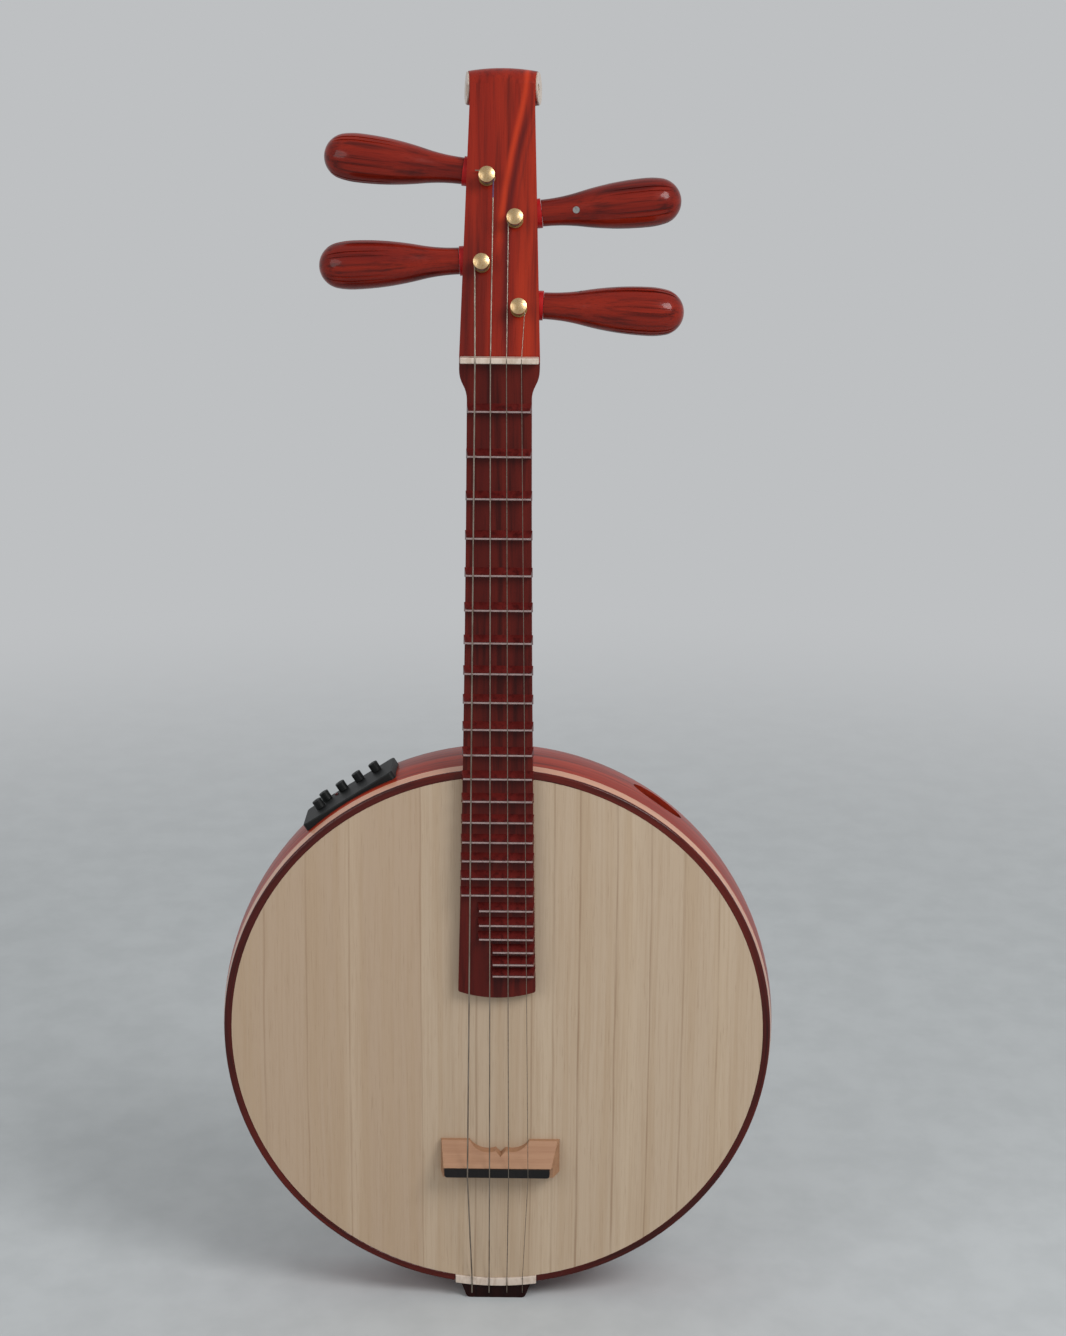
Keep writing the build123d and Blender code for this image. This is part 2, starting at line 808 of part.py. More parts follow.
def axle_plane(i, reach):
    """Square to peg i at a distance outwards, with local x out of the head's face."""
    return Plane(
        origin=worm_point(i) + peg_direction(i) * reach, x_dir=head_out, z_dir=peg_direction(i)
    )


def side_reach(i):
    """How far from the worm's middle the peg's axis leaves the head's side."""
    tip = radians(peg_tips[i])
    side = peg_side(i)
    start = worm_point(i) - head_origin
    narrowing = (head_foot_half - head_top_half) / head_taper_end
    room = head_foot_half - narrowing * start.dot(head_up) - side * start.X
    return room / (cos(tip) + narrowing * sin(tip))


cover_length = pocket_end - pocket_start + 2 * cover_margin
cover_screw_spots = [
    (x, up)
    for x in (-cover_screw_x, cover_screw_x)
    for up in (pocket_start - cover_margin / 2, pocket_end + cover_margin / 2)
]

# The scroll's roll, thickest at its middle, between its two leaning ends
with BuildPart() as scroll_roll:
    with BuildSketch(Plane(origin=scroll_centre, x_dir=(1, 0, 0), z_dir=head_out)):
        with BuildLine():
            crown = ThreePointArc(
                (-scroll_end_x, scroll_end_radius), (0, scroll_radius), (scroll_end_x, scroll_end_radius)
            )
            Polyline(
                crown @ 1,
                (scroll_end_x + overcut, scroll_end_radius),
                (scroll_end_x + overcut, 0),
                (-scroll_end_x - overcut, 0),
                (-scroll_end_x - overcut, scroll_end_radius),
                crown @ 0,
            )
        make_face()
    revolve(axis=Axis(scroll_centre, (1, 0, 0)))
    for side in (1, -1):
        split(bisect_by=scroll_end_plane(side), keep=Keep.BOTTOM)

with BuildPart() as head:
    with BuildSketch(head_side_plane):
        with BuildLine():
            Polyline(
                (-2 * overcut, 0),
                (scroll_up, 0),
                (scroll_up, -scroll_radius),
                (head_back_end, -head_top_thickness),
                (-2 * overcut, -head_thickness - 2 * overcut * tan(back_rise)),
                close=True,
            )
        make_face()
    extrude(amount=head_foot_half + overcut, both=True)
    with BuildSketch(head_plane):
        with BuildLine():
            Polyline(
                (-head_foot_half, -2 * overcut),
                (head_foot_half, -2 * overcut),
                (head_foot_half, 0),
                (head_top_half, head_taper_end),
                (head_top_half, scroll_up),
                (-head_top_half, scroll_up),
                (-head_top_half, head_taper_end),
                (-head_foot_half, 0),
                close=True,
            )
        make_face()
    extrude(amount=2 * head_thickness, both=True, mode=Mode.INTERSECT)
    with BuildSketch(Plane.XY.offset(nut_z)):
        with Locations((0, front_y - head_face_height)):
            Rectangle(
                2 * (head_foot_half + overcut), head_taper_end, align=(Align.CENTER, Align.MIN)
            )
    extrude(amount=2 * head_taper_end, mode=Mode.INTERSECT)
    add(scroll_roll.part)
    for side in (1, -1):
        with BuildSketch(scroll_end_plane(side)):
            Circle(disc_radius + wood_fit)
        extrude(amount=-disc_recess, mode=Mode.SUBTRACT)
    # the pocket for the machines, open at the back, and the seat of its cover
    with BuildSketch(head_plane.offset(-head_wall)):
        with Locations((0, (pocket_start + pocket_end) / 2)):
            Rectangle(2 * pocket_half, pocket_end - pocket_start)
    extrude(amount=-head_thickness, mode=Mode.SUBTRACT)
    with BuildSketch(head_back_plane):
        with Locations((0, (pocket_start + pocket_end) / 2)):
            Rectangle(2 * (cover_half + wood_fit), cover_length + 2 * wood_fit)
    extrude(amount=-cover_thickness, mode=Mode.SUBTRACT)
    with BuildSketch(head_back_plane):
        with Locations(*cover_screw_spots):
            Circle(cover_screw_radius)
    extrude(amount=-cover_screw_length, mode=Mode.SUBTRACT)
    for i in range(4):
        with BuildSketch(machine_plane(i)):
            Circle(bushing_radius)
        extrude(amount=-head_wall, mode=Mode.SUBTRACT)
        with BuildSketch(axle_plane(i, 0)):
            Circle(shaft_radius + running_fit)
        extrude(amount=side_reach(i) + overcut, mode=Mode.SUBTRACT)
        with BuildSketch(axle_plane(i, side_reach(i) - collar_sink)):
            Circle(collar_radius + wood_fit)
        extrude(amount=overcut, mode=Mode.SUBTRACT)
name_and_write(head.part, "head")

with BuildPart() as scroll_discs:
    for side in (1, -1):
        with BuildSketch(scroll_end_plane(side).offset(-disc_recess)):
            Circle(disc_radius)
        extrude(amount=disc_thickness)
        with BuildSketch(scroll_end_plane(side)):
            with Locations((disc_eye_up, -side * disc_eye_out)):
                Circle(disc_eye_radius)
        extrude(amount=disc_thickness, mode=Mode.SUBTRACT)
name_and_write(scroll_discs.part, "scroll_discs")

with BuildPart() as head_cover:
    with BuildSketch(head_back_plane):
        with Locations((0, (pocket_start + pocket_end) / 2)):
            Rectangle(2 * cover_half, cover_length)
        with Locations(*cover_screw_spots):
            Circle(cover_screw_radius + wood_fit, mode=Mode.SUBTRACT)
    extrude(amount=-cover_thickness)
    with BuildSketch(head_back_plane):
        with Locations(*cover_screw_spots):
            Circle(cover_screw_head_radius + wood_fit)
    extrude(amount=-cover_screw_head, mode=Mode.SUBTRACT)
name_and_write(head_cover.part, "head_cover")

with BuildPart() as head_cover_screws:
    with BuildSketch(head_back_plane):
        with Locations(*cover_screw_spots):
            Circle(cover_screw_head_radius)
    extrude(amount=-cover_screw_head)
    with BuildSketch(head_back_plane.offset(-cover_screw_head)):
        with Locations(*cover_screw_spots):
            Circle(cover_screw_radius)
    extrude(amount=cover_screw_head - cover_screw_length)
    with BuildSketch(head_back_plane):
        with Locations(*cover_screw_spots):
            Rectangle(2 * cover_screw_head_radius, cover_screw_slot_width)
    extrude(amount=-cover_screw_slot_depth, mode=Mode.SUBTRACT)
name_and_write(head_cover_screws.part, "head_cover_screws")

# Tuning machines: the fixed pieces

with BuildPart() as post_bushings:
    for i in range(4):
        with BuildSketch(machine_plane(i)):
            Circle(bushing_flange_radius)
        extrude(amount=bushing_flange)
        with BuildSketch(machine_plane(i)):
            Circle(bushing_radius)
        extrude(amount=-head_wall)
        with BuildSketch(machine_plane(i, bushing_flange)):
            Circle(post_radius + running_fit)
        extrude(amount=-(bushing_flange + head_wall), mode=Mode.SUBTRACT)
name_and_write(post_bushings.part, "post_bushings")

# Each bracket holds the post's tail and the worm's inner end
bracket_back = bracket_plate_out - bracket_thickness
with BuildPart() as worm_brackets:
    for i in range(4):
        side = peg_side(i)
        with BuildSketch(machine_plane(i, bracket_back)):
            with Locations(((lug_inner_x + bracket_outer_x) / 2, 0)):
                Rectangle(bracket_outer_x - lug_inner_x, 2 * bracket_half)
        extrude(amount=bracket_thickness)
        with BuildSketch(machine_plane(i, bracket_plate_out)):
            with Locations((0, -side * (bracket_half + bracket_leg_inner) / 2)):
                Rectangle(2 * bracket_outer_x, bracket_half - bracket_leg_inner)
            with Locations(((lug_inner_x + lug_outer_x) / 2, side * (lug_start + bracket_half) / 2)):
                Rectangle(lug_outer_x - lug_inner_x, bracket_half - lug_start)
        extrude(amount=-head_wall - bracket_plate_out)
        with BuildSketch(machine_plane(i, bracket_back)):
            Circle(journal_radius + running_fit)
        extrude(amount=bracket_thickness, mode=Mode.SUBTRACT)
        with BuildSketch(axle_plane(i, lug_inner_x)):
            Circle(worm_core_radius + running_fit)
        extrude(amount=lug_outer_x - lug_inner_x, mode=Mode.SUBTRACT)
name_and_write(worm_brackets.part, "worm_brackets")

with BuildPart() as peg_collars:
    for i in range(4):
        with BuildSketch(axle_plane(i, side_reach(i) - collar_sink)):
            Circle(collar_radius)
            Circle(shaft_radius + running_fit, mode=Mode.SUBTRACT)
        extrude(amount=collar_height + collar_sink)
name_and_write(peg_collars.part, "peg_collars")


# Tuning machines: the moving pieces


def biarc(start, start_way, end, end_way):
    """Two arcs that leave one point and reach another along the given directions."""
    chord = end - start
    ways = start_way + end_way
    bend = 2 * (1 - start_way.dot(end_way))
    along = chord.dot(ways)
    reach = (sqrt(along**2 + bend * chord.dot(chord)) - along) / bend
    near = start + start_way * reach
    far = end - end_way * reach
    middle = (near + far) * 0.5
    TangentArc(start, middle, tangent=start_way)
    TangentArc(middle, end, tangent=(far - near).normalized())


worm_lead = 2 * pi * (gear_distance - thread_radius) / wheel_teeth
lead_angle = atan(worm_lead / (2 * pi * thread_radius))

for i in range(4):
    number = i + 1
    side = peg_side(i)
    along = peg_direction(i)
    to_wheel = head_out.cross(along) * -side
    around = along.cross(to_wheel)
    middle = worm_point(i)
    handle_start = side_reach(i) + collar_height + turning_gap
    grub_turn = radians(grub_angles[i])
    grub_out = head_out * cos(grub_turn) + head_up * sin(grub_turn)
    grub_out = (grub_out - along * grub_out.dot(along)).normalized()
    grub_top = handle_bend_radius - (handle_bend_at - grub_at) * handle_foot_slope - grub_sink

    # the worm: a round thread on its core, on quarter turns from end to end
    with BuildPart() as worm_thread:
        with BuildLine() as thread_route:
            for step in range(int(4 * worm_turns)):
                ends = []
                for quarter in (step, step + 1):
                    turn = (quarter / 4 - worm_turns / 2) * 2 * pi
                    radial = to_wheel * cos(turn) + around * sin(turn)
                    onward = around * cos(turn) - to_wheel * sin(turn)
                    spot = middle + along * (worm_lead * turn / (2 * pi)) + radial * thread_radius
                    way = (onward * thread_radius + along * (worm_lead / (2 * pi))).normalized()
                    ends += [spot, way]
                biarc(*ends)
        with BuildSketch(Plane(origin=thread_route.wires()[0] @ 0, z_dir=thread_route.wires()[0] % 0)):
            Circle(thread_wire)
        sweep()

    with BuildPart() as worm_shaft:
        with BuildSketch(axle_plane(i, inner_journal_end)):
            Circle(worm_core_radius)
        extrude(amount=shaft_start - inner_journal_end)
        with BuildSketch(axle_plane(i, shaft_start)):
            Circle(shaft_radius)
        extrude(amount=handle_start + shaft_reach - shaft_start)
        add(worm_thread.part)
        # the grub screw that holds the handle stands on the shaft
        with BuildSketch(
            Plane(
                origin=middle + along * (handle_start + grub_at) + grub_out * grub_top,
                x_dir=along,
                z_dir=grub_out,
            )
        ):
            Circle(grub_radius)
            RegularPolygon(grub_socket_radius, 6, mode=Mode.SUBTRACT)
        extrude(amount=-grub_socket_depth)
        with BuildSketch(
            Plane(
                origin=middle + along * (handle_start + grub_at) + grub_out * shaft_radius,
                x_dir=along,
                z_dir=grub_out,
            )
        ):
            Circle(grub_radius)
        extrude(amount=grub_top - grub_socket_depth - shaft_radius)
    name_and_write(worm_shaft.part, f"worm_shaft_{number}")

    # one groove of the handle: it follows the handle's outline and runs out at both ends
    with BuildPart() as groove:
        with BuildSketch(axle_section(i)):
            with BuildLine():
                groove_mid = (handle_start + handle_crest_at, handle_crest_radius - groove_depth)
                lower_groove = TangentArc(
                    groove_mid,
                    (handle_start + groove_start_at, handle_bend_radius + groove_start_lift),
                    tangent=(-1, 0),
                )
                upper_groove = TangentArc(
                    groove_mid,
                    (
                        handle_start + handle_shoulder_at,
                        handle_shoulder_radius - groove_depth,
                    ),
                    tangent=(1, 0),
                )
                end_groove = TangentArc(
                    upper_groove @ 1,
                    (handle_start + groove_end_at, groove_end_radius),
                    tangent=upper_groove % 1,
                )
                Polyline(
                    end_groove @ 1,
                    (handle_start + groove_end_at, 2 * handle_crest_radius),
                    (handle_start + groove_start_at, 2 * handle_crest_radius),
                    lower_groove @ 1,
                )
            make_face()
        extrude(amount=groove_width / 2, both=True)

    with BuildPart() as peg_handle:
        with BuildSketch(axle_section(i)):
            with BuildLine():
                crest = (handle_start + handle_crest_at, handle_crest_radius)
                belly = TangentArc(
                    crest, (handle_start + handle_bend_at, handle_bend_radius), tangent=(-1, 0)
                )
                foot = TangentArc(
                    belly @ 1, (handle_start, handle_foot_radius), tangent=belly % 1
                )
                shoulder = TangentArc(
                    crest,
                    (handle_start + handle_shoulder_at, handle_shoulder_radius),
                    tangent=(1, 0),
                )
                tip = TangentArc(
                    shoulder @ 1, (handle_start + handle_length, 0), tangent=shoulder % 1
                )
                Polyline(tip @ 1, (handle_start, 0), foot @ 1)
            make_face()
        revolve(axis=Axis(middle, along))
        turns = [
            groove_phases[i] + 360 / groove_count * step + offset
            for step in range(groove_count)
            for offset in (-groove_half_gap, groove_half_gap)
        ]
        add([groove.part.rotate(Axis(middle, along), turn) for turn in turns], mode=Mode.SUBTRACT)
        with BuildSketch(axle_plane(i, handle_start)):
            Circle(shaft_radius)
        extrude(amount=shaft_reach, mode=Mode.SUBTRACT)
        with BuildSketch(
            Plane(
                origin=middle + along * (handle_start + grub_at) + grub_out * grub_hole_bottom,
                x_dir=along,
                z_dir=grub_out,
            )
        ):
            Circle(grub_radius + grub_hole_clearance)
        extrude(amount=handle_crest_radius, mode=Mode.SUBTRACT)
    name_and_write(peg_handle.part, f"peg_handle_{number}")

    with BuildPart() as string_post:
        with BuildSketch(post_section(i)):
            with BuildLine():
                Polyline(
                    (bracket_back, 0),
                    (bracket_back, journal_radius),
                    (-gear_depth - wheel_thickness / 2, journal_radius),
                    (-gear_depth - wheel_thickness / 2, wheel_seat_radius),
                    (-gear_depth + wheel_thickness / 2, wheel_seat_radius),
                    (-gear_depth + wheel_thickness / 2, post_radius),
                    (spool_bottom, post_radius),
                    (spool_bottom, spool_radius),
                    (cap_bottom, spool_radius),
                    (cap_bottom, cap_radius),
                    (cap_edge, cap_radius),
                )
                TangentArc((cap_top, 0), (cap_edge, cap_radius), tangent=(0, 1))
                Line((cap_top, 0), (bracket_back, 0))
            make_face()
        revolve(axis=post_axis(i))
    name_and_write(string_post.part, f"string_post_{number}")

    # one slot of the wheel leans with the thread
    mesh_out = to_wheel * -1
    with BuildPart() as slot:
        with BuildSketch(
            Plane(
                origin=middle + to_wheel * thread_radius,
                x_dir=mesh_out,
                z_dir=along * tan(lead_angle) - head_out * side,
            )
        ):
            Circle(slot_radius)
            with BuildLine():
                Polyline(
                    (0, -slot_radius),
                    (slot_mouth, -slot_flare),
                    (slot_mouth, slot_flare),
                    (0, slot_radius),
                    close=True,
                )
            make_face()
        extrude(amount=wheel_thickness, both=True)

    with BuildPart() as worm_wheel:
        with BuildSketch(machine_plane(i, -gear_depth - wheel_thickness / 2)):
            Circle(wheel_radius)
            Circle(wheel_seat_radius, mode=Mode.SUBTRACT)
        extrude(amount=wheel_thickness)
        add(
            [slot.part.rotate(post_axis(i), 360 / wheel_teeth * tooth) for tooth in range(wheel_teeth)],
            mode=Mode.SUBTRACT,
        )
    name_and_write(worm_wheel.part, f"worm_wheel_{number}")

# Strings

# Each string is one piece: from its anchor out of the tail block, over the bone piece, the bridge and
# the nut, and round its post. Its turns run down the spool on quarter turns.
for i in range(4):
    number = i + 1
    diameter = string_diameters[i]
    pitch = diameter + turn_gap
    turn_radius = spool_radius + turning_gap + diameter / 2
    # the two outer strings' posts are reached on their outer sides, the inner two between the posts
    hand = 1 if number in (1, 3) else -1
    nut_point = Vector(
        nut_spots[i], front_y - nut_string_height - diameter / 2, nut_z + nut_thickness / 2
    )
    post_x, post_up = post_spots[i]
    from_head = nut_point - head_origin
    reach_x = post_x - from_head.X
    reach_up = post_up - from_head.dot(head_up)
    distance = sqrt(reach_x**2 + reach_up**2)
    heading = degrees(asin(reach_x / distance)) + hand * degrees(asin(turn_radius / distance))
    # in the head's plane the string heads this way, and touches the turn square to it
    way_x = sin(radians(heading))
    way_up = cos(radians(heading))
    out_x = hand * way_up
    out_up = -hand * way_x
    touch = head_point(post_x + out_x * turn_radius, post_up + out_up * turn_radius, first_turn_height)
    free_way = (touch - nut_point).normalized()
    route_y = front_y - tail_saddle_rise - diameter / 2 - string_rest_gap
    corners = [
        Vector(tail_spots[i], front_y + tail_block_setback + anchor_depth, string_hole_height),
        Vector(tail_spots[i], route_y, string_hole_height),
        Vector(tail_spots[i], route_y, body_centre_z - soundboard_radius),
        Vector(
            bridge_spots[i],
            front_y - saddle_height - diameter / 2 - string_rest_gap,
            bridge_bearing_z - saddle_start - saddle_width,
        ),
        nut_point,
        touch,
    ]
    with BuildPart() as string_piece:
        with BuildLine() as string_route:
            FilletPolyline(*corners, radius=[tail_bend, rest_bend, rest_bend, rest_bend])
            free_length = string_route.wires()[0].length
            start, start_way = touch, free_way
            coil_points = []
            for step in range(1, 4 * string_turns[i] + 2):
                turn = hand * step * pi / 2
                spoke_x = out_x * cos(turn) - out_up * sin(turn)
                spoke_up = out_up * cos(turn) + out_x * sin(turn)
                end = head_point(
                    post_x + spoke_x * turn_radius,
                    post_up + spoke_up * turn_radius,
                    first_turn_height - pitch * step / 4,
                )
                flat_way = (Vector(1, 0, 0) * -spoke_up + head_up * spoke_x) * hand
                end_way = (flat_way * (2 * pi * turn_radius) - head_out * pitch).normalized()
                biarc(start, start_way, end, end_way)
                start, start_way = end, end_way
            Line(start, start + start_way * string_tails[i])
        route = string_route.wires()[0]
        with BuildSketch(Plane(origin=corners[0], z_dir=(0, -1, 0))):
            Circle(diameter / 2)
        sweep(path=route)
    name_and_write(string_piece.part, f"string_{number}")
    # the least gap between the coil's turns, and to the free string, measured on points of the route
    samples = int((route.length - free_length + 20) / 0.25)
    first = (free_length - 20) / route.length
    coil = [route.position_at(first + (1 - first) * k / samples) for k in range(samples + 1)]
    apart = int(0.6 * 2 * pi * turn_radius / 0.25)
    least = min(
        (coil[b] - coil[a]).length for a in range(len(coil)) for b in range(a + apart, len(coil))
    )
    print(
        f"string {number}: length {route.length:.1f}, least gap to itself {least - diameter:.2f},",
        f"volume {string_piece.part.volume:.1f},",
        f"section times length {pi * diameter**2 / 4 * route.length:.1f}",
    )

# Preamp

panel_middle = ((panel_start + panel_end) / 2, (panel_front + panel_back) / 2)
panel_plane = rim_plane(preamp_angle, panel_radius)
with BuildPart() as preamp_panel:
    with BuildSketch(panel_plane):
        with Locations(panel_middle):
            RectangleRounded(panel_end - panel_start, panel_back - panel_front, panel_corner)
    extrude(amount=-2 * overcut)
    fillet(preamp_panel.faces().sort_by(Axis(panel_plane.origin, panel_plane.z_dir))[-1].edges(), panel_round)
    add(body_envelope.part, mode=Mode.SUBTRACT)
    with BuildSketch(panel_plane):
        with Locations(*knob_spots):
            Circle(knob_stem_radius + running_fit)
        with Locations(lamp_spot):
            Circle(lamp_radius)
    extrude(amount=-2 * overcut, mode=Mode.SUBTRACT)
name_and_write(preamp_panel.part, "preamp_panel")

with BuildPart() as preamp_box:
    with BuildSketch(rim_plane(preamp_angle, preamp_box_bottom)):
        with Locations(panel_middle):
            Rectangle(preamp_box_length, preamp_box_width)
    extrude(amount=panel_radius - preamp_box_bottom)
    add(body_envelope.part, mode=Mode.INTERSECT)
    with BuildSketch(panel_plane):
        with Locations(*knob_spots):
            Circle(knob_stem_radius + running_fit)
    extrude(amount=-(knob_stem_depth + turning_gap), mode=Mode.SUBTRACT)
    with BuildSketch(panel_plane):
        with Locations(lamp_spot):
            Circle(lamp_radius)
    extrude(amount=-lamp_depth, mode=Mode.SUBTRACT)
name_and_write(preamp_box.part, "preamp_box")

with BuildPart() as preamp_lamp:
    with BuildSketch(panel_plane.offset(-lamp_depth)):
        with Locations(lamp_spot):
            Circle(lamp_radius)
    extrude(amount=lamp_depth + lamp_rise)
    fillet(preamp_lamp.edges().sort_by(Axis(panel_plane.origin, panel_plane.z_dir))[-1], lamp_round)
name_and_write(preamp_lamp.part, "preamp_lamp")

for number, (along_rim, depth) in enumerate(knob_spots, start=1):
    knob_plane = Plane(
        origin=panel_plane.from_local_coords((along_rim, depth, 0)),
        x_dir=panel_plane.x_dir,
        z_dir=panel_plane.z_dir,
    )
    with BuildPart() as tone_knob:
        with BuildSketch(knob_plane.offset(knob_gap)):
            Circle(knob_radius)
        extrude(amount=knob_height - knob_gap)
        fillet(tone_knob.faces().sort_by(Axis(knob_plane.origin, knob_plane.z_dir))[-1].edges(), knob_round)
        with BuildSketch(knob_plane.offset(-knob_stem_depth)):
            Circle(knob_stem_radius)
        extrude(amount=knob_stem_depth + knob_gap)
        with BuildSketch(knob_plane.offset(knob_height)):
            with Locations((0, -knob_radius / 2)):
                Rectangle(knob_mark_width, knob_radius)
        extrude(amount=-knob_mark_depth, mode=Mode.SUBTRACT)
    name_and_write(tone_knob.part, f"tone_knob_{number}")

with BuildPart() as pickup_strip:
    with BuildSketch(body_plane(soundboard_thickness)):
        with Locations((0, pickup_height)):
            Rectangle(pickup_length, pickup_width)
    extrude(amount=-pickup_thickness)
name_and_write(pickup_strip.part, "pickup_strip")
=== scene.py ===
# %% [markdown]
# # A zhongruan, from its CAD solids to a finished picture
#
# A zhongruan is a round, hollow lute with four strings. The CAD model already holds every solid piece of
# it: boards, ring, neck, frets, pegs, strings and knobs. What it lacks is looks. This notebook loads those
# solids, puts the camera where the photograph was taken, lights the scene, gives every piece the wood,
# metal, bone or plastic that it is made of, and models the few soft windings that only the eye needs.

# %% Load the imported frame
import math

import bpy
from mathutils import Matrix, Vector


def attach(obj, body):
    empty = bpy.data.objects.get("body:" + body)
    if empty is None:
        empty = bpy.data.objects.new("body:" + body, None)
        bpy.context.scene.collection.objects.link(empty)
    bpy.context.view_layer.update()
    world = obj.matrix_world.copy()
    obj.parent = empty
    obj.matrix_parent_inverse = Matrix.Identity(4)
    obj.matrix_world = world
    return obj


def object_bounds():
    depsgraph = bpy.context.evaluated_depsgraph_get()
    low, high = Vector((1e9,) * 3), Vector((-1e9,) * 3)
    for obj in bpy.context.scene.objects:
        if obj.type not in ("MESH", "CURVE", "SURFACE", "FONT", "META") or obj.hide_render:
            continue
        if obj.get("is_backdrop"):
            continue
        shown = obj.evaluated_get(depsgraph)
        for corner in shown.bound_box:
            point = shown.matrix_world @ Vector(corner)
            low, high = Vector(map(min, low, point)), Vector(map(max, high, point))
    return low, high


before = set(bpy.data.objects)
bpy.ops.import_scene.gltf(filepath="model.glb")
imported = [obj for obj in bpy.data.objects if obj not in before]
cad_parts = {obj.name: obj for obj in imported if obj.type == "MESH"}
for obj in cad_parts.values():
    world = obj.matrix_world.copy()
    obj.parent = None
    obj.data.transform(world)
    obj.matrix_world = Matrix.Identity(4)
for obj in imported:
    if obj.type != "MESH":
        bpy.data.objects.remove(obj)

cad_low, cad_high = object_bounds()
print("overall size in mm:", [round(1000 * side) for side in cad_high - cad_low])

# %% [markdown]
# ## Where things are
#
# All lengths are metres, +Z runs up the neck, the soundboard faces -Y and the origin is the middle of the
# tail block's flat bottom. The head leans back, so its grain and its strings are easiest to place in the
# head's own directions. One helper turns a place given in millimetres on the head's face into a point.

# %% Named places
MM = 0.001
FRONT = -26.0 * MM
BODY_CENTRE = 231.5 * MM
NUT_HEIGHT = 772.0 * MM
HEAD_RAKE = math.radians(17.0)
HEAD_FOOT = Vector((0, FRONT - 7.0 * MM, NUT_HEIGHT + 5.5 * MM))
HEAD_UP = Vector((0, math.sin(HEAD_RAKE), math.cos(HEAD_RAKE)))
HEAD_OUT = Vector((0, -math.cos(HEAD_RAKE), math.sin(HEAD_RAKE)))


def head_point(x, up, out):
    """A point over the head's face, from millimetres across, up the face and out of it."""
    return HEAD_FOOT + Vector((x, 0, 0)) * MM + HEAD_UP * up * MM + HEAD_OUT * out * MM


print("middle of the head's face:", [round(c, 3) for c in head_point(0, 100, 0)])

# %% [markdown]
# ## Camera
#
# The photograph was taken from a standing person's eye height, a little over two metres away, tipped
# down by about fourteen degrees. A camera can be turned with Euler angles, but here its three axes are
# built as vectors: that way yaw, pitch and roll keep their plain meanings.

# %% Put the camera where the photograph was taken
CAMERA_PLACE = Vector((49.7, -2169.5, 1056.9)) * MM
yaw, pitch, roll = (math.radians(angle) for angle in (-0.61, 13.73, 0.41))
ahead = Vector((math.sin(yaw) * math.cos(pitch), math.cos(yaw) * math.cos(pitch), -math.sin(pitch)))
level = Vector((math.cos(yaw), -math.sin(yaw), 0))
upward = level.cross(ahead)
right = level * math.cos(roll) + upward * math.sin(roll)
top = upward * math.cos(roll) - level * math.sin(roll)
camera = bpy.data.objects.new("camera", bpy.data.cameras.new("camera"))
bpy.context.scene.collection.objects.link(camera)
camera.data.lens = 76.5
camera.matrix_world = Matrix.Translation(CAMERA_PLACE) @ Matrix((right, top, -ahead)).transposed().to_4x4()
bpy.context.scene.camera = camera
print("camera at", [round(c, 3) for c in camera.location])

# %% [markdown]
# ## Writing materials as sums
#
# A material's pattern is maths on the place of each point. Node by node that is hard to read, so a small
# class wraps one output socket and lets +, -, * and / add the Math nodes. A second class holds one
# material and has a single method that adds any other node.

# %% A value that can be calculated with
class Field:
    """A value that a material works out at each point of a surface."""

    def __init__(self, finish, socket):
        self.finish = finish
        self.socket = socket

    def math(self, operation, *others):
        numbers = dict(enumerate((self,) + others))
        return self.finish.node("ShaderNodeMath", {"operation": operation}, numbers)

    def reflected(self, operation, other):
        return self.finish.node("ShaderNodeMath", {"operation": operation}, {0: other, 1: self})

    def __add__(self, other):
        return self.math("ADD", other)

    def __radd__(self, other):
        return self.reflected("ADD", other)

    def __sub__(self, other):
        return self.math("SUBTRACT", other)

    def __rsub__(self, other):
        return self.reflected("SUBTRACT", other)

    def __mul__(self, other):
        return self.math("MULTIPLY", other)

    def __rmul__(self, other):
        return self.reflected("MULTIPLY", other)

    def __truediv__(self, other):
        return self.math("DIVIDE", other)

    def __abs__(self):
        return self.math("ABSOLUTE")


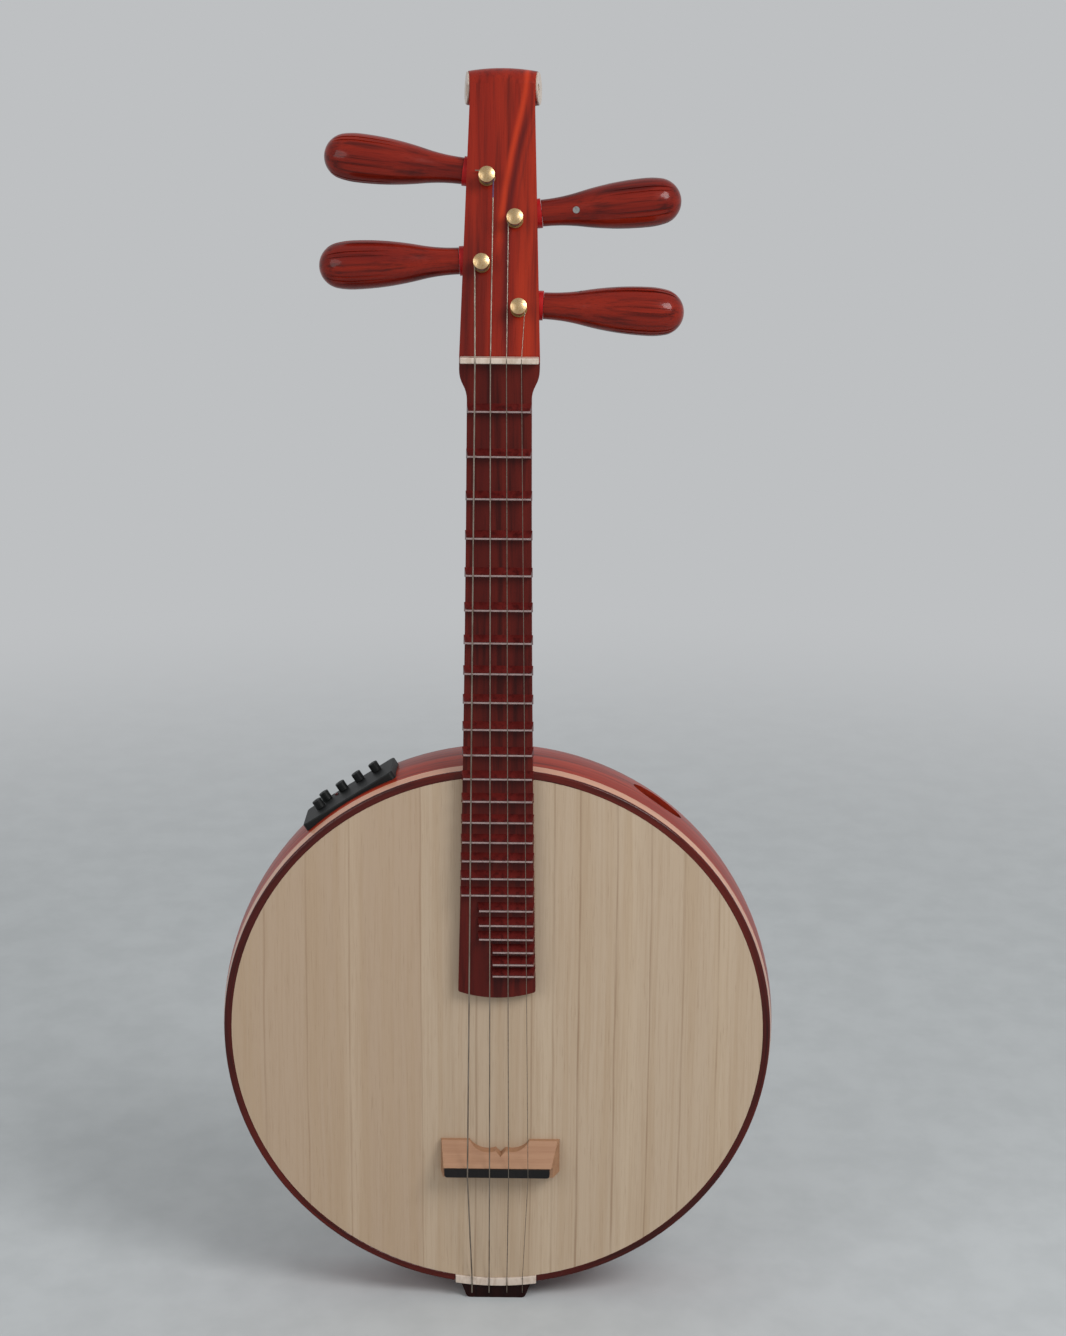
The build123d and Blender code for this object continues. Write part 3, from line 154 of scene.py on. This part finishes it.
# %% A material and its nodes
class Finish:
    """One material: a surface shader, and the nodes that feed it."""

    def __init__(self, name, **constants):
        self.material = bpy.data.materials.new(name)
        self.material.use_nodes = True
        self.nodes = self.material.node_tree.nodes
        self.links = self.material.node_tree.links
        self.surface = self.nodes["Principled BSDF"]
        for socket, value in constants.items():
            self.surface.inputs[socket.replace("_", " ")].default_value = value
        spot = self.node("ShaderNodeTexCoord", output="Object")
        split = self.node("ShaderNodeSeparateXYZ", inputs={0: spot})
        self.spot = spot
        self.x, self.y, self.z = (
            Field(self, split.socket.node.outputs[axis]) for axis in ("X", "Y", "Z")
        )

    def node(self, kind, settings=None, inputs=None, output=0):
        """Adds a node: its settings first, then the values or links of its sockets."""
        node = self.nodes.new(kind)
        for name, value in (settings or {}).items():
            if name == "stops":
                while len(node.color_ramp.elements) < len(value):
                    node.color_ramp.elements.new(0.5)
                for element, (position, colour) in zip(node.color_ramp.elements, value):
                    element.position = position
                    element.color = colour
            else:
                setattr(node, name, value)
        for name, value in (inputs or {}).items():
            if isinstance(value, Field):
                self.links.new(value.socket, node.inputs[name])
            else:
                node.inputs[name].default_value = value
        return Field(self, node.outputs[output])

    def turned(self, place, rotation):
        """X, Y and Z counted from another place, along turned axes."""
        mapped = self.node(
            "ShaderNodeMapping",
            {"vector_type": "TEXTURE"},
            {"Vector": self.spot, "Location": place, "Rotation": rotation},
        )
        split = self.node("ShaderNodeSeparateXYZ", inputs={0: mapped})
        return [Field(self, split.socket.node.outputs[axis]) for axis in ("X", "Y", "Z")]

    def vector(self, x, y, z):
        return self.node("ShaderNodeCombineXYZ", inputs={0: x, 1: y, 2: z})

    def streaks(self, across, through, along, width, length, detail=3.0, shift=0.0):
        """Clouds drawn out into streaks of about this width and length, from 0 to 1."""
        spot = self.vector(across * (1 / width) + shift, through * (1 / width), along * (1 / length))
        sizes = {"Vector": spot, "Scale": 1.0, "Detail": detail, "Roughness": 0.6}
        return self.node("ShaderNodeTexNoise", inputs=sizes)

    def step(self, value, low, high, start=0.0, end=1.0):
        """Goes smoothly from start to end while the value goes from low to high."""
        ends = {"Value": value, "From Min": low, "From Max": high, "To Min": start, "To Max": end}
        return self.node("ShaderNodeMapRange", {"interpolation_type": "SMOOTHSTEP"}, ends)

    def line(self, value, at, half):
        """1 where the value is at this place, down to 0 at half a width from it."""
        return self.step(abs(value - at), 0.0, half, 1.0, 0.0)

    def mixed(self, share, first, second):
        """The second colour over the first, by a share from 0 to 1."""
        return self.node(
            "ShaderNodeMix", {"data_type": "RGBA"}, {"Factor": share, 6: first, 7: second}, output=2
        )

    def feeds(self, **sockets):
        """Links fields to the surface shader's sockets."""
        for socket, value in sockets.items():
            self.links.new(value.socket, self.surface.inputs[socket.replace("_", " ")])

    def bump(self, height, depth):
        """Raises the surface by height, a field from 0 to 1, times a depth in metres."""
        field = self.node("ShaderNodeBump", inputs={"Height": height, "Distance": depth, "Strength": 1.0})
        self.feeds(Normal=field)


# %% [markdown]
# Colours are easier to judge as a screen shows them, from 0 to 255, while the renderer counts light. One
# helper converts them, and another hands a finished material to pieces of the frame.

# %% Colours and painting
def colour(red, green, blue):
    """A renderer's colour from screen values."""
    share = [value / 255 for value in (red, green, blue)]
    return tuple(s / 12.92 if s <= 0.04045 else ((s + 0.055) / 1.055) ** 2.4 for s in share) + (1.0,)


def paint(finish, *names):
    """Gives a finish to pieces of the frame."""
    for name in names:
        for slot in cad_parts[name].material_slots:
            slot.material = finish.material
    print(finish.material.name, "on", ", ".join(names))


# %% [markdown]
# ## The soundboard
#
# The soundboard is paulownia: planks with upright grain, glued edge to edge and hardly varnished. Its
# look has three scales. Each plank has its own tone, each year leaves a thin darker line, and fine pores
# run along the grain. A wave texture would repeat, so the year lines are stretched noise with a few
# strong lines placed where the photograph shows them.

# %% Paulownia
def paulownia():
    finish = Finish("paulownia", Roughness=0.6, Specular_IOR_Level=0.3)
    sway = finish.streaks(finish.x, finish.y, finish.z, 0.09, 0.22, 2.0)
    x = finish.x + (sway - 0.5) * 0.006
    shade = finish.mixed(
        finish.step(finish.x, -0.061, -0.0605), colour(173, 150, 127), colour(180, 159, 136)
    )
    for seam in (-0.128, 0.028, 0.094, 0.168):
        shade = finish.mixed(
            finish.line(finish.x, seam + 0.012, 0.013) * 0.25, shade, colour(195, 175, 150)
        )
    broad = finish.streaks(x, finish.y, finish.z, 0.011, 0.5, 2.0)
    shade = finish.mixed(finish.step(broad, 0.42, 0.68, 0.0, 0.4), shade, colour(168, 143, 115))
    fine = finish.streaks(x, finish.y, finish.z, 0.0016, 0.08, 3.0)
    shade = finish.mixed(finish.step(fine, 0.42, 0.7, 0.0, 0.32), shade, colour(160, 134, 107))
    pores = finish.streaks(finish.x, finish.y, finish.z, 0.0006, 0.02, 1.0)
    shade = finish.mixed(finish.step(pores, 0.62, 0.75, 0.0, 0.25), shade, colour(136, 110, 84))
    for at, half, share in (
        (0.0275, 0.0011, 0.5),
        (0.0452, 0.0014, 0.35),
        (0.0655, 0.0014, 0.6),
        (0.0945, 0.0013, 0.5),
        (0.1215, 0.0010, 0.5),
        (0.148, 0.0014, 0.35),
        (0.176, 0.0010, 0.35),
        (-0.0605, 0.0009, 0.35),
        (-0.017, 0.0014, 0.4),
        (-0.118, 0.0012, 0.3),
        (-0.152, 0.0012, 0.3),
        (-0.186, 0.0012, 0.35),
    ):
        strength = finish.line(x, at, half) * finish.step(fine, 0.3, 0.6, 0.4, 1.0) * share
        shade = finish.mixed(strength, shade, colour(124, 95, 68))
    finish.feeds(Base_Color=shade, Roughness=finish.step(fine, 0.3, 0.7, 0.68, 0.52))
    finish.bump(fine + pores, 0.00004)
    return finish


paint(paulownia(), "soundboard")

# %% [markdown]
# ## Red lacquered wood
#
# Neck, side and head are one red hardwood under a glossy lacquer. The grain runs along each piece: round
# the body on the side, up the neck, and up the leaning head. One function takes the three directions, so
# that each piece only says which way its grain lies. The gloss is a coat over the wood, because lacquer
# is smooth even where the wood below is rough.

# %% One red wood for several pieces
def red_wood(name, directions, plain, dark, light, roughness=0.32, coat=0.2, width=0.0045):
    """Red lacquered wood. directions(finish) gives the ways across, through and along the grain."""
    finish = Finish(name, Coat_Weight=coat, Coat_Roughness=0.09, Specular_IOR_Level=0.08)
    across, through, along = directions(finish)
    sway = finish.streaks(across, through, along, 0.03, 0.25, 2.0)
    across = across + (sway - 0.5) * 0.006
    shade = finish.mixed(
        finish.step(finish.streaks(across, through, along, 0.016, 0.4, 2.0), 0.35, 0.68), plain, light
    )
    dark_bands = finish.streaks(across, through, along, width, 0.12, 3.0, 7.3)
    shade = finish.mixed(finish.step(dark_bands, 0.46, 0.72, 0.0, 0.75), shade, dark)
    fine = finish.streaks(across, through, along, 0.0009, 0.03, 3.0)
    shade = finish.mixed(finish.step(fine, 0.5, 0.75, 0.0, 0.45), shade, dark)
    finish.feeds(
        Base_Color=shade, Roughness=finish.step(fine, 0.3, 0.7, roughness + 0.06, roughness - 0.04)
    )
    finish.bump(fine, 0.00002)
    return finish, shade


def upright(finish):
    return finish.x, finish.y, finish.z


def round_the_body(finish):
    """Across is the depth, along is the way round the rim."""
    up = finish.z - BODY_CENTRE
    radius = (finish.x * finish.x + up * up).math("SQRT")
    return finish.y, radius, finish.x.math("ARCTAN2", up) * 0.22


side_wood, _ = red_wood(
    "side_wood", round_the_body, colour(136, 40, 25), colour(88, 22, 15), colour(160, 50, 28), coat=0.1
)
paint(side_wood, "side_rim")
neck_wood, _ = red_wood(
    "neck_wood", upright, colour(100, 26, 18), colour(62, 15, 12), colour(118, 33, 20)
)
paint(neck_wood, "neck")

# %% [markdown]
# The ring round the soundboard and the one round the back are a darker wood than the side, polished
# bright. The tail block and the fingerboard are nearly black red.

# %% Dark red wood
ring_wood, _ = red_wood(
    "ring_wood", round_the_body, colour(66, 16, 11), colour(34, 9, 7), colour(88, 23, 14), 0.22, 0.35
)
paint(ring_wood, "front_binding", "back_binding")
board_wood, _ = red_wood(
    "board_wood", upright, colour(76, 20, 16), colour(42, 11, 10), colour(92, 26, 19), 0.34, 0.15, 0.006
)
paint(board_wood, "fingerboard")
ridge_wood, _ = red_wood(
    "ridge_wood", upright, colour(76, 21, 19), colour(50, 13, 13), colour(92, 28, 25), 0.3, 0.2
)
paint(ridge_wood, "fret_ridges")
tail_wood, _ = red_wood(
    "tail_wood", upright, colour(28, 9, 8), colour(16, 6, 6), colour(38, 12, 10), 0.3, 0.1
)
paint(tail_wood, "tail_block")

# %% [markdown]
# ## The head's figured grain
#
# The head shows the best wood: an orange streak that starts between the pegs and sweeps up to the right,
# a violet-brown streak beside it, and darker wood down the left. The streaks are curves in the head's own
# plane, so a Mapping node first turns the pattern's axes to lie on the leaning face.

# %% Head wood
def on_the_head(finish):
    across, through, along = finish.turned(HEAD_FOOT, (-HEAD_RAKE, 0, 0))
    return across, through, along


def head_wood():
    finish, shade = red_wood(
        "head_wood", on_the_head, colour(126, 29, 16), colour(84, 20, 14), colour(146, 39, 20), 0.3, 0.25
    )
    across, through, along = on_the_head(finish)
    wave = finish.streaks(across, through, along, 0.05, 0.09, 2.0, 3.0)
    rise = finish.step(along, 0.085, 0.235)
    bend = across - rise * 0.021 + (wave - 0.5) * 0.006
    left = finish.step(across + (wave - 0.5) * 0.02, -0.004, -0.016) * finish.step(along, 0.13, 0.05)
    shade = finish.mixed(left * 0.55, shade, colour(76, 18, 14))
    low_streak = finish.line(bend, 0.0045, 0.0042) * finish.step(along, 0.0, 0.02, 0.5, 1.0)
    shade = finish.mixed(low_streak * finish.step(along, 0.205, 0.17) * 0.7, shade, colour(66, 16, 18))
    # painted highlight: a lighter orange band up the lower right edge of the head, standing in for the light
    # from the right
    right_painted_highlight = finish.line(across + (wave - 0.5) * 0.01, 0.0195, 0.008) * finish.step(along, 0.12, 0.04)
    shade = finish.mixed(right_painted_highlight * 0.6, shade, colour(166, 48, 22))
    streak = finish.line(bend, -0.0012, 0.0038) * finish.step(along, 0.07, 0.1)
    shade = finish.mixed(streak * 0.85, shade, colour(176, 52, 24))
    second = finish.line(bend, 0.0105, 0.0018) * finish.step(along, 0.1, 0.14)
    shade = finish.mixed(second * 0.4, shade, colour(96, 28, 22))
    finish.feeds(Base_Color=shade)
    return finish


head_finish = head_wood()
paint(head_finish, "head", "head_cover")

# %% [markdown]
# ## Peg handles
#
# Each handle is turned from the same red wood, so its grain runs along the handle and shows as long
# flames where the turning cuts through it. The four handles lean a little, each in its own way, so each
# gets the wood laid along its own axis.

# %% Handles with the grain along their axes
def handle_wood(number, lean):
    def along_the_handle(finish):
        place = head_point(0, 20 * number, -15)
        along, through, across = finish.turned(place, (-HEAD_RAKE, math.radians(lean), 0))
        return across, through, along

    return red_wood(
        f"handle_wood_{number}",
        along_the_handle,
        colour(106, 22, 12),
        colour(52, 11, 9),
        colour(128, 31, 15),
        0.24,
        0.3,
        0.005,
    )[0]


for number, lean in ((1, 2.7), (2, -6.3), (3, 6.7), (4, -2.7)):
    paint(handle_wood(number, lean), f"peg_handle_{number}")

# %% [markdown]
# ## Pale woods
#
# A thin line of pale maple lies between the ring and the side. The bridge is a light brown wood, the back
# a plain brown board, and what is inside is bare spruce. They share one plain recipe, with the grain
# along an axis and only mild contrast.

# %% Maple, bridge wood, back board and spruce
def plain_wood(name, directions, plain, dark, roughness=0.55, width=0.003, coat=0.0):
    finish = Finish(name, Coat_Weight=coat, Coat_Roughness=0.15)
    across, through, along = directions(finish)
    broad = finish.streaks(across, through, along, width * 3, 0.2, 2.0)
    fine = finish.streaks(across, through, along, width * 0.4, 0.03, 3.0)
    shade = finish.mixed(finish.step(broad, 0.38, 0.68, 0.0, 0.5), plain, dark)
    shade = finish.mixed(finish.step(fine, 0.45, 0.72, 0.0, 0.5), shade, dark)
    finish.feeds(Base_Color=shade, Roughness=finish.step(fine, 0.3, 0.7, roughness + 0.08, roughness - 0.05))
    finish.bump(fine, 0.00003)
    return finish


def sideways(finish):
    return finish.z, finish.y, finish.x


def front_to_back(finish):
    return finish.x, finish.z, finish.y


paint(
    plain_wood("pale_maple", round_the_body, colour(205, 152, 122), colour(176, 116, 88), 0.4, coat=0.5),
    "edge_strip",
)
paint(
    plain_wood("bridge_wood", sideways, colour(160, 119, 89), colour(141, 98, 69), 0.5, 0.002), "bridge"
)
paint(
    plain_wood("back_wood", upright, colour(150, 104, 66), colour(118, 76, 44), 0.4, coat=0.5), "back_board"
)
paint(
    plain_wood("spruce", sideways, colour(196, 170, 130), colour(170, 138, 96)),
    "soundboard_braces",
    "back_braces",
    "neck_block",
    "tail_inner_block",
)
paint(
    plain_wood("post_spruce", front_to_back, colour(196, 170, 130), colour(170, 138, 96)), "sound_post"
)

# %% [markdown]
# ## Bone, horn and plastics
#
# The nut, the bar at the tail and the discs in the scroll are bone: off-white, with faint warm clouds
# and a soft polish. The saddle is black horn, the collars are bright red plastic, and the preamp is
# moulded black plastic with a fine grain.

# %% Moulded and polished pieces
def cloudy(name, plain, dark, size, roughness, grain, depth, coat=0.0):
    """An even material with faint clouds of a second colour and a fine grain."""
    finish = Finish(name, Coat_Weight=coat, Coat_Roughness=0.12, Specular_IOR_Level=0.3)
    clouds = finish.streaks(finish.x, finish.y, finish.z, size, size * 2.5, 3.0)
    fine = finish.streaks(finish.x, finish.y, finish.z, grain, grain, 2.0)
    finish.feeds(
        Base_Color=finish.mixed(finish.step(clouds, 0.4, 0.7), plain, dark),
        Roughness=finish.step(fine, 0.3, 0.7, roughness + 0.06, roughness - 0.04),
    )
    finish.bump(fine, depth)
    return finish


paint(
    cloudy("bone", colour(200, 184, 170), colour(182, 163, 147), 0.004, 0.35, 0.0004, 0.00001, 0.3),
    "nut",
    "tail_saddle",
    "scroll_discs",
)
paint(
    cloudy("black_horn", colour(13, 10, 11), colour(22, 17, 17), 0.006, 0.3, 0.0005, 0.00001),
    "bridge_saddle",
)
paint(
    cloudy("red_plastic", colour(178, 10, 12), colour(160, 6, 9), 0.008, 0.35, 0.0006, 0.00001),
    "peg_collars",
)
paint(
    cloudy("black_plastic", colour(10, 11, 11), colour(14, 17, 16), 0.01, 0.5, 0.0003, 0.00003),
    "preamp_panel",
    "preamp_box",
    "pickup_strip",
    *(f"tone_knob_{number}" for number in range(1, 6)),
)
paint(
    cloudy("lamp_lens", colour(70, 10, 10), colour(48, 6, 8), 0.003, 0.2, 0.0005, 0.00001, 0.6),
    "preamp_lamp",
)

# %% [markdown]
# ## Metals
#
# Brass posts are turned on a lathe, which leaves fine rings round their axis. The frets are polished
# nickel silver, the screws and the gears' brackets plain steel. A metal's colour comes from what it
# reflects, so only roughness and a little tarnish vary.

# %% Brass, steel and fret wire
# each post's place on the head's face, in millimetres across and up
POSTS = {1: (14.2, 35.2), 2: (10.6, 103.2), 3: (-10.9, 135.3), 4: (-14.2, 69.0)}


def metal(name, plain, tarnish, roughness, size=0.003):
    finish = Finish(name, Metallic=1.0)
    worn = finish.streaks(finish.x, finish.y, finish.z, size, size, 4.0)
    fine = finish.streaks(finish.x, finish.y, finish.z, 0.0003, 0.0003, 2.0)
    finish.feeds(
        Base_Color=finish.mixed(finish.step(worn, 0.4, 0.7), plain, tarnish),
        Roughness=finish.step(worn, 0.3, 0.7, roughness - 0.06, roughness + 0.08),
    )
    finish.bump(fine, 0.000004)
    return finish


def post_brass(number, x, up):
    """Brass with lathe rings round a post's axis."""
    finish = Finish(f"post_brass_{number}", Metallic=1.0)
    across, through, along = finish.turned(head_point(x, up, 0), (-HEAD_RAKE, 0, 0))
    radius = (across * across + along * along).math("SQRT")
    rings = (radius * (2 * math.pi / 0.0009)).math("SINE")
    worn = finish.streaks(across, through, along, 0.002, 0.002, 3.0)
    finish.feeds(
        Base_Color=finish.mixed(finish.step(worn, 0.4, 0.7), colour(206, 177, 134), colour(180, 148, 104)),
        Roughness=finish.step(worn, 0.3, 0.7, 0.26, 0.4),
    )
    finish.bump(rings * 0.5 + 0.5, 0.000012)
    return finish


for number, (x, up) in POSTS.items():
    paint(post_brass(number, x, up), f"string_post_{number}", f"worm_wheel_{number}")
paint(
    metal("bushing_brass", colour(190, 156, 104), colour(150, 116, 70), 0.35),
    "post_bushings",
    "string_anchors",
)
steel = metal("steel", colour(176, 176, 174), colour(140, 138, 134), 0.35)
paint(
    steel, "head_cover_screws", "worm_brackets", *(f"worm_shaft_{number}" for number in range(1, 5))
)
paint(metal("fret_wire", colour(196, 172, 168), colour(168, 140, 138), 0.3), "fret_wires")

# %% [markdown]
# ## Strings
#
# Two strings are plain steel. The two thick ones are steel wound with a flat wire, so they are duller and
# carry fine turns that a bump shows close up.

# %% Plain and wound strings
paint(metal("plain_string", colour(142, 132, 120), colour(116, 104, 92), 0.32), "string_1", "string_2")


def wound_string():
    finish = Finish("wound_string", Metallic=1.0)
    turns = (finish.z * (2 * math.pi / 0.0005)).math("SINE") * 0.5 + 0.5
    worn = finish.streaks(finish.x, finish.y, finish.z, 0.004, 0.02, 3.0)
    finish.feeds(
        Base_Color=finish.mixed(finish.step(worn, 0.4, 0.7), colour(150, 139, 127), colour(118, 106, 94)),
        Roughness=finish.step(turns, 0.0, 1.0, 0.48, 0.36),
    )
    finish.bump(turns, 0.00003)
    return finish


paint(wound_string(), "string_3", "string_4")

# %% [markdown]
# ## Silk at the string's end
#
# The third string ends in a winding of dark violet silk, which starts just below its post and shows
# again at its cut end. The silk is a thin sleeve with swelling turns: a cylinder laid along the string,
# cut into rings, every other ring pulled in a little, and both ends tapered.

# %% A sleeve of silk round a straight stretch of string
def deselect():
    bpy.ops.object.select_all(action="DESELECT")


def silk_sleeve(name, start, end, radius):
    """A wound sleeve from start to end."""
    way = end - start
    rings = max(6, int(way.length / (0.45 * MM)))
    deselect()
    bpy.ops.mesh.primitive_cylinder_add(vertices=16, radius=radius, depth=way.length)
    sleeve = bpy.context.object
    sleeve.name = name
    bpy.ops.object.mode_set(mode="EDIT")
    for cut in range(1, 2 * rings):
        bpy.ops.mesh.select_all(action="SELECT")
        height = way.length * (cut / (2 * rings) - 0.5)
        bpy.ops.mesh.bisect(plane_co=(0, 0, height), plane_no=(0, 0, 1))
    bpy.ops.object.mode_set(mode="OBJECT")
    for vertex in sleeve.data.vertices:
        step = round((vertex.co.z / way.length + 0.5) * 2 * rings)
        share = 0.86 if step % 2 else 1.0
        if step in (0, 2 * rings):
            share = 0.62
        vertex.co.x *= share
        vertex.co.y *= share
    turn = way.to_track_quat("Z", "Y").to_matrix().to_4x4()
    sleeve.data.transform(Matrix.Translation((start + end) / 2) @ turn)
    deselect()
    sleeve.select_set(True)
    bpy.context.view_layer.objects.active = sleeve
    bpy.ops.object.shade_smooth()
    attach(sleeve, "instrument")
    return sleeve


# %% Where the third string leaves its post
# in millimetres: the nut's groove over the soundboard, the nut's middle above its foot, the post, the gap
# under the turns, and the string's height over the head
NUT_GROOVE, NUT_MIDDLE = 16.6, 2.3
POST_RADIUS, TURN_GAP = 4.2, 0.3
STRING_OVER_HEAD = 8.2


def touch_point(number, post_x, post_up, nut_x, diameter, hand):
    """The place where a string first touches its turns on the post, and its way there."""
    out_of_board = (NUT_GROOVE + diameter / 2) * MM
    nut = Vector((nut_x * MM, FRONT - out_of_board, NUT_HEIGHT + NUT_MIDDLE * MM))
    reach = POST_RADIUS + TURN_GAP + diameter / 2
    from_foot = nut - HEAD_FOOT
    reach_x = post_x * MM - from_foot.x
    reach_up = post_up * MM - from_foot.dot(HEAD_UP)
    distance = math.hypot(reach_x, reach_up)
    heading = math.asin(reach_x / distance) + hand * math.asin(reach * MM / distance)
    out_x, out_up = hand * math.cos(heading), -hand * math.sin(heading)
    touch = head_point(post_x + out_x * reach, post_up + out_up * reach, STRING_OVER_HEAD)
    print("string", number, "meets its post at", [round(1000 * c, 1) for c in touch])
    return nut, touch


silk = Finish("violet_silk", Sheen_Weight=0.3)
silk_turns = silk.streaks(silk.x, silk.y, silk.z, 0.0006, 0.0006, 2.0)
silk.feeds(
    Base_Color=silk.mixed(silk.step(silk_turns, 0.35, 0.65), colour(52, 26, 58), colour(84, 44, 84)),
    Roughness=silk.step(silk_turns, 0.3, 0.7, 0.75, 0.6),
)
silk.bump(silk_turns, 0.00003)
nut_3, touch_3 = touch_point(3, *POSTS[3], nut_x=-6.6, diameter=0.95, hand=1)
down = (nut_3 - touch_3).normalized()
sleeve = silk_sleeve("string_3_silk", touch_3 + down * 1.5 * MM, touch_3 + down * 17 * MM, 0.62 * MM)
sleeve.data.materials.append(silk.material)
print("silk sleeve of", len(sleeve.data.polygons), "faces")

# %% [markdown]
# ## Floor and light
#
# The photograph is taken in a pale room under soft daylight from the upper right. A plain pale floor
# catches the shadow, and further out it fades to the same pale grey as the world, so that no horizon
# shows. The pale grey is only for what the camera and reflections see. The light on the object comes from
# the world at a plain level and two large lamps.

# %% Floor
BACKDROP = colour(190, 192, 194)
SEEING_RAYS = ("Is Camera Ray", "Is Glossy Ray", "Is Transmission Ray")


def seen_rays(finish):
    """1 for rays from the camera, from reflections and through glass."""
    path = finish.node("ShaderNodeLightPath").socket.node
    camera_ray, glossy_ray, through_ray = (
        Field(finish, path.outputs[name]) for name in SEEING_RAYS
    )
    return (camera_ray + glossy_ray + through_ray).math("MINIMUM", 1.0)


deselect()
bpy.ops.mesh.primitive_plane_add(size=400)
floor = bpy.context.object
floor.name = "floor"
floor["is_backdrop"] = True
floor_finish = Finish("pale_floor", Roughness=0.8, Specular_IOR_Level=0.2)
mottled = floor_finish.streaks(floor_finish.x, floor_finish.z, floor_finish.y, 0.05, 0.06, 3.0)
floor_finish.feeds(
    Base_Color=floor_finish.mixed(
        floor_finish.step(mottled, 0.3, 0.7), colour(178, 181, 182), colour(184, 187, 188)
    )
)
away = (floor_finish.x * floor_finish.x + floor_finish.y * floor_finish.y).math("SQRT")
fade = floor_finish.step(away, 0.9, 2.6) * seen_rays(floor_finish)
glow = floor_finish.node("ShaderNodeEmission", inputs={"Color": BACKDROP, "Strength": 1.0})
wood_side = Field(floor_finish, floor_finish.surface.outputs[0])
whole = floor_finish.node("ShaderNodeMixShader", inputs={0: fade, 1: wood_side, 2: glow})
output = floor_finish.nodes["Material Output"]
floor_finish.links.new(whole.socket, output.inputs["Surface"])
floor.data.materials.append(floor_finish.material)
print("floor of", round(floor.dimensions.x), "m")

# %% World and lamps
world = bpy.data.worlds.new("pale_room")
bpy.context.scene.world = world
world.use_nodes = True
nodes, links = world.node_tree.nodes, world.node_tree.links
lit = nodes["Background"]
lit.inputs["Color"].default_value = (0.95, 0.98, 1.0, 1.0)
lit.inputs["Strength"].default_value = 0.62
seen = nodes.new("ShaderNodeBackground")
seen.inputs["Color"].default_value = BACKDROP
path = nodes.new("ShaderNodeLightPath")
total = None
for name in SEEING_RAYS:
    if total is None:
        total = path.outputs[name]
    else:
        add = nodes.new("ShaderNodeMath")
        add.use_clamp = True
        links.new(total, add.inputs[0])
        links.new(path.outputs[name], add.inputs[1])
        total = add.outputs[0]
both = nodes.new("ShaderNodeMixShader")
links.new(total, both.inputs[0])
links.new(lit.outputs[0], both.inputs[1])
links.new(seen.outputs[0], both.inputs[2])
links.new(both.outputs[0], nodes["World Output"].inputs["Surface"])


def lamp(name, place, target, size, power):
    """A large soft lamp that faces a point."""
    data = bpy.data.lights.new(name, "AREA")
    data.shape = "DISK"
    data.size = size
    data.energy = power
    made = bpy.data.objects.new(name, data)
    bpy.context.scene.collection.objects.link(made)
    way = Vector(target) - Vector(place)
    made.matrix_world = Matrix.Translation(place) @ way.to_track_quat("-Z", "Y").to_matrix().to_4x4()
    print(name, "at", place, "power", power)


lamp("window", (1.6, -1.6, 2.2), (0, 0, 0.45), 1.4, 48)
lamp("room", (-1.8, -1.9, 1.5), (0, 0, 0.45), 1.8, 17)
bpy.context.scene.view_settings.view_transform = "Standard"

# %% [markdown]
# ## Finish
#
# The box round the object with its looks is set against the box round its solids alone, and how much
# it grew is printed.

# %% Compare the sizes
look_low, look_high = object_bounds()
growth = (look_high - look_low) - (cad_high - cad_low)
print("grown by, in mm:", [round(1000 * side, 2) for side in growth])
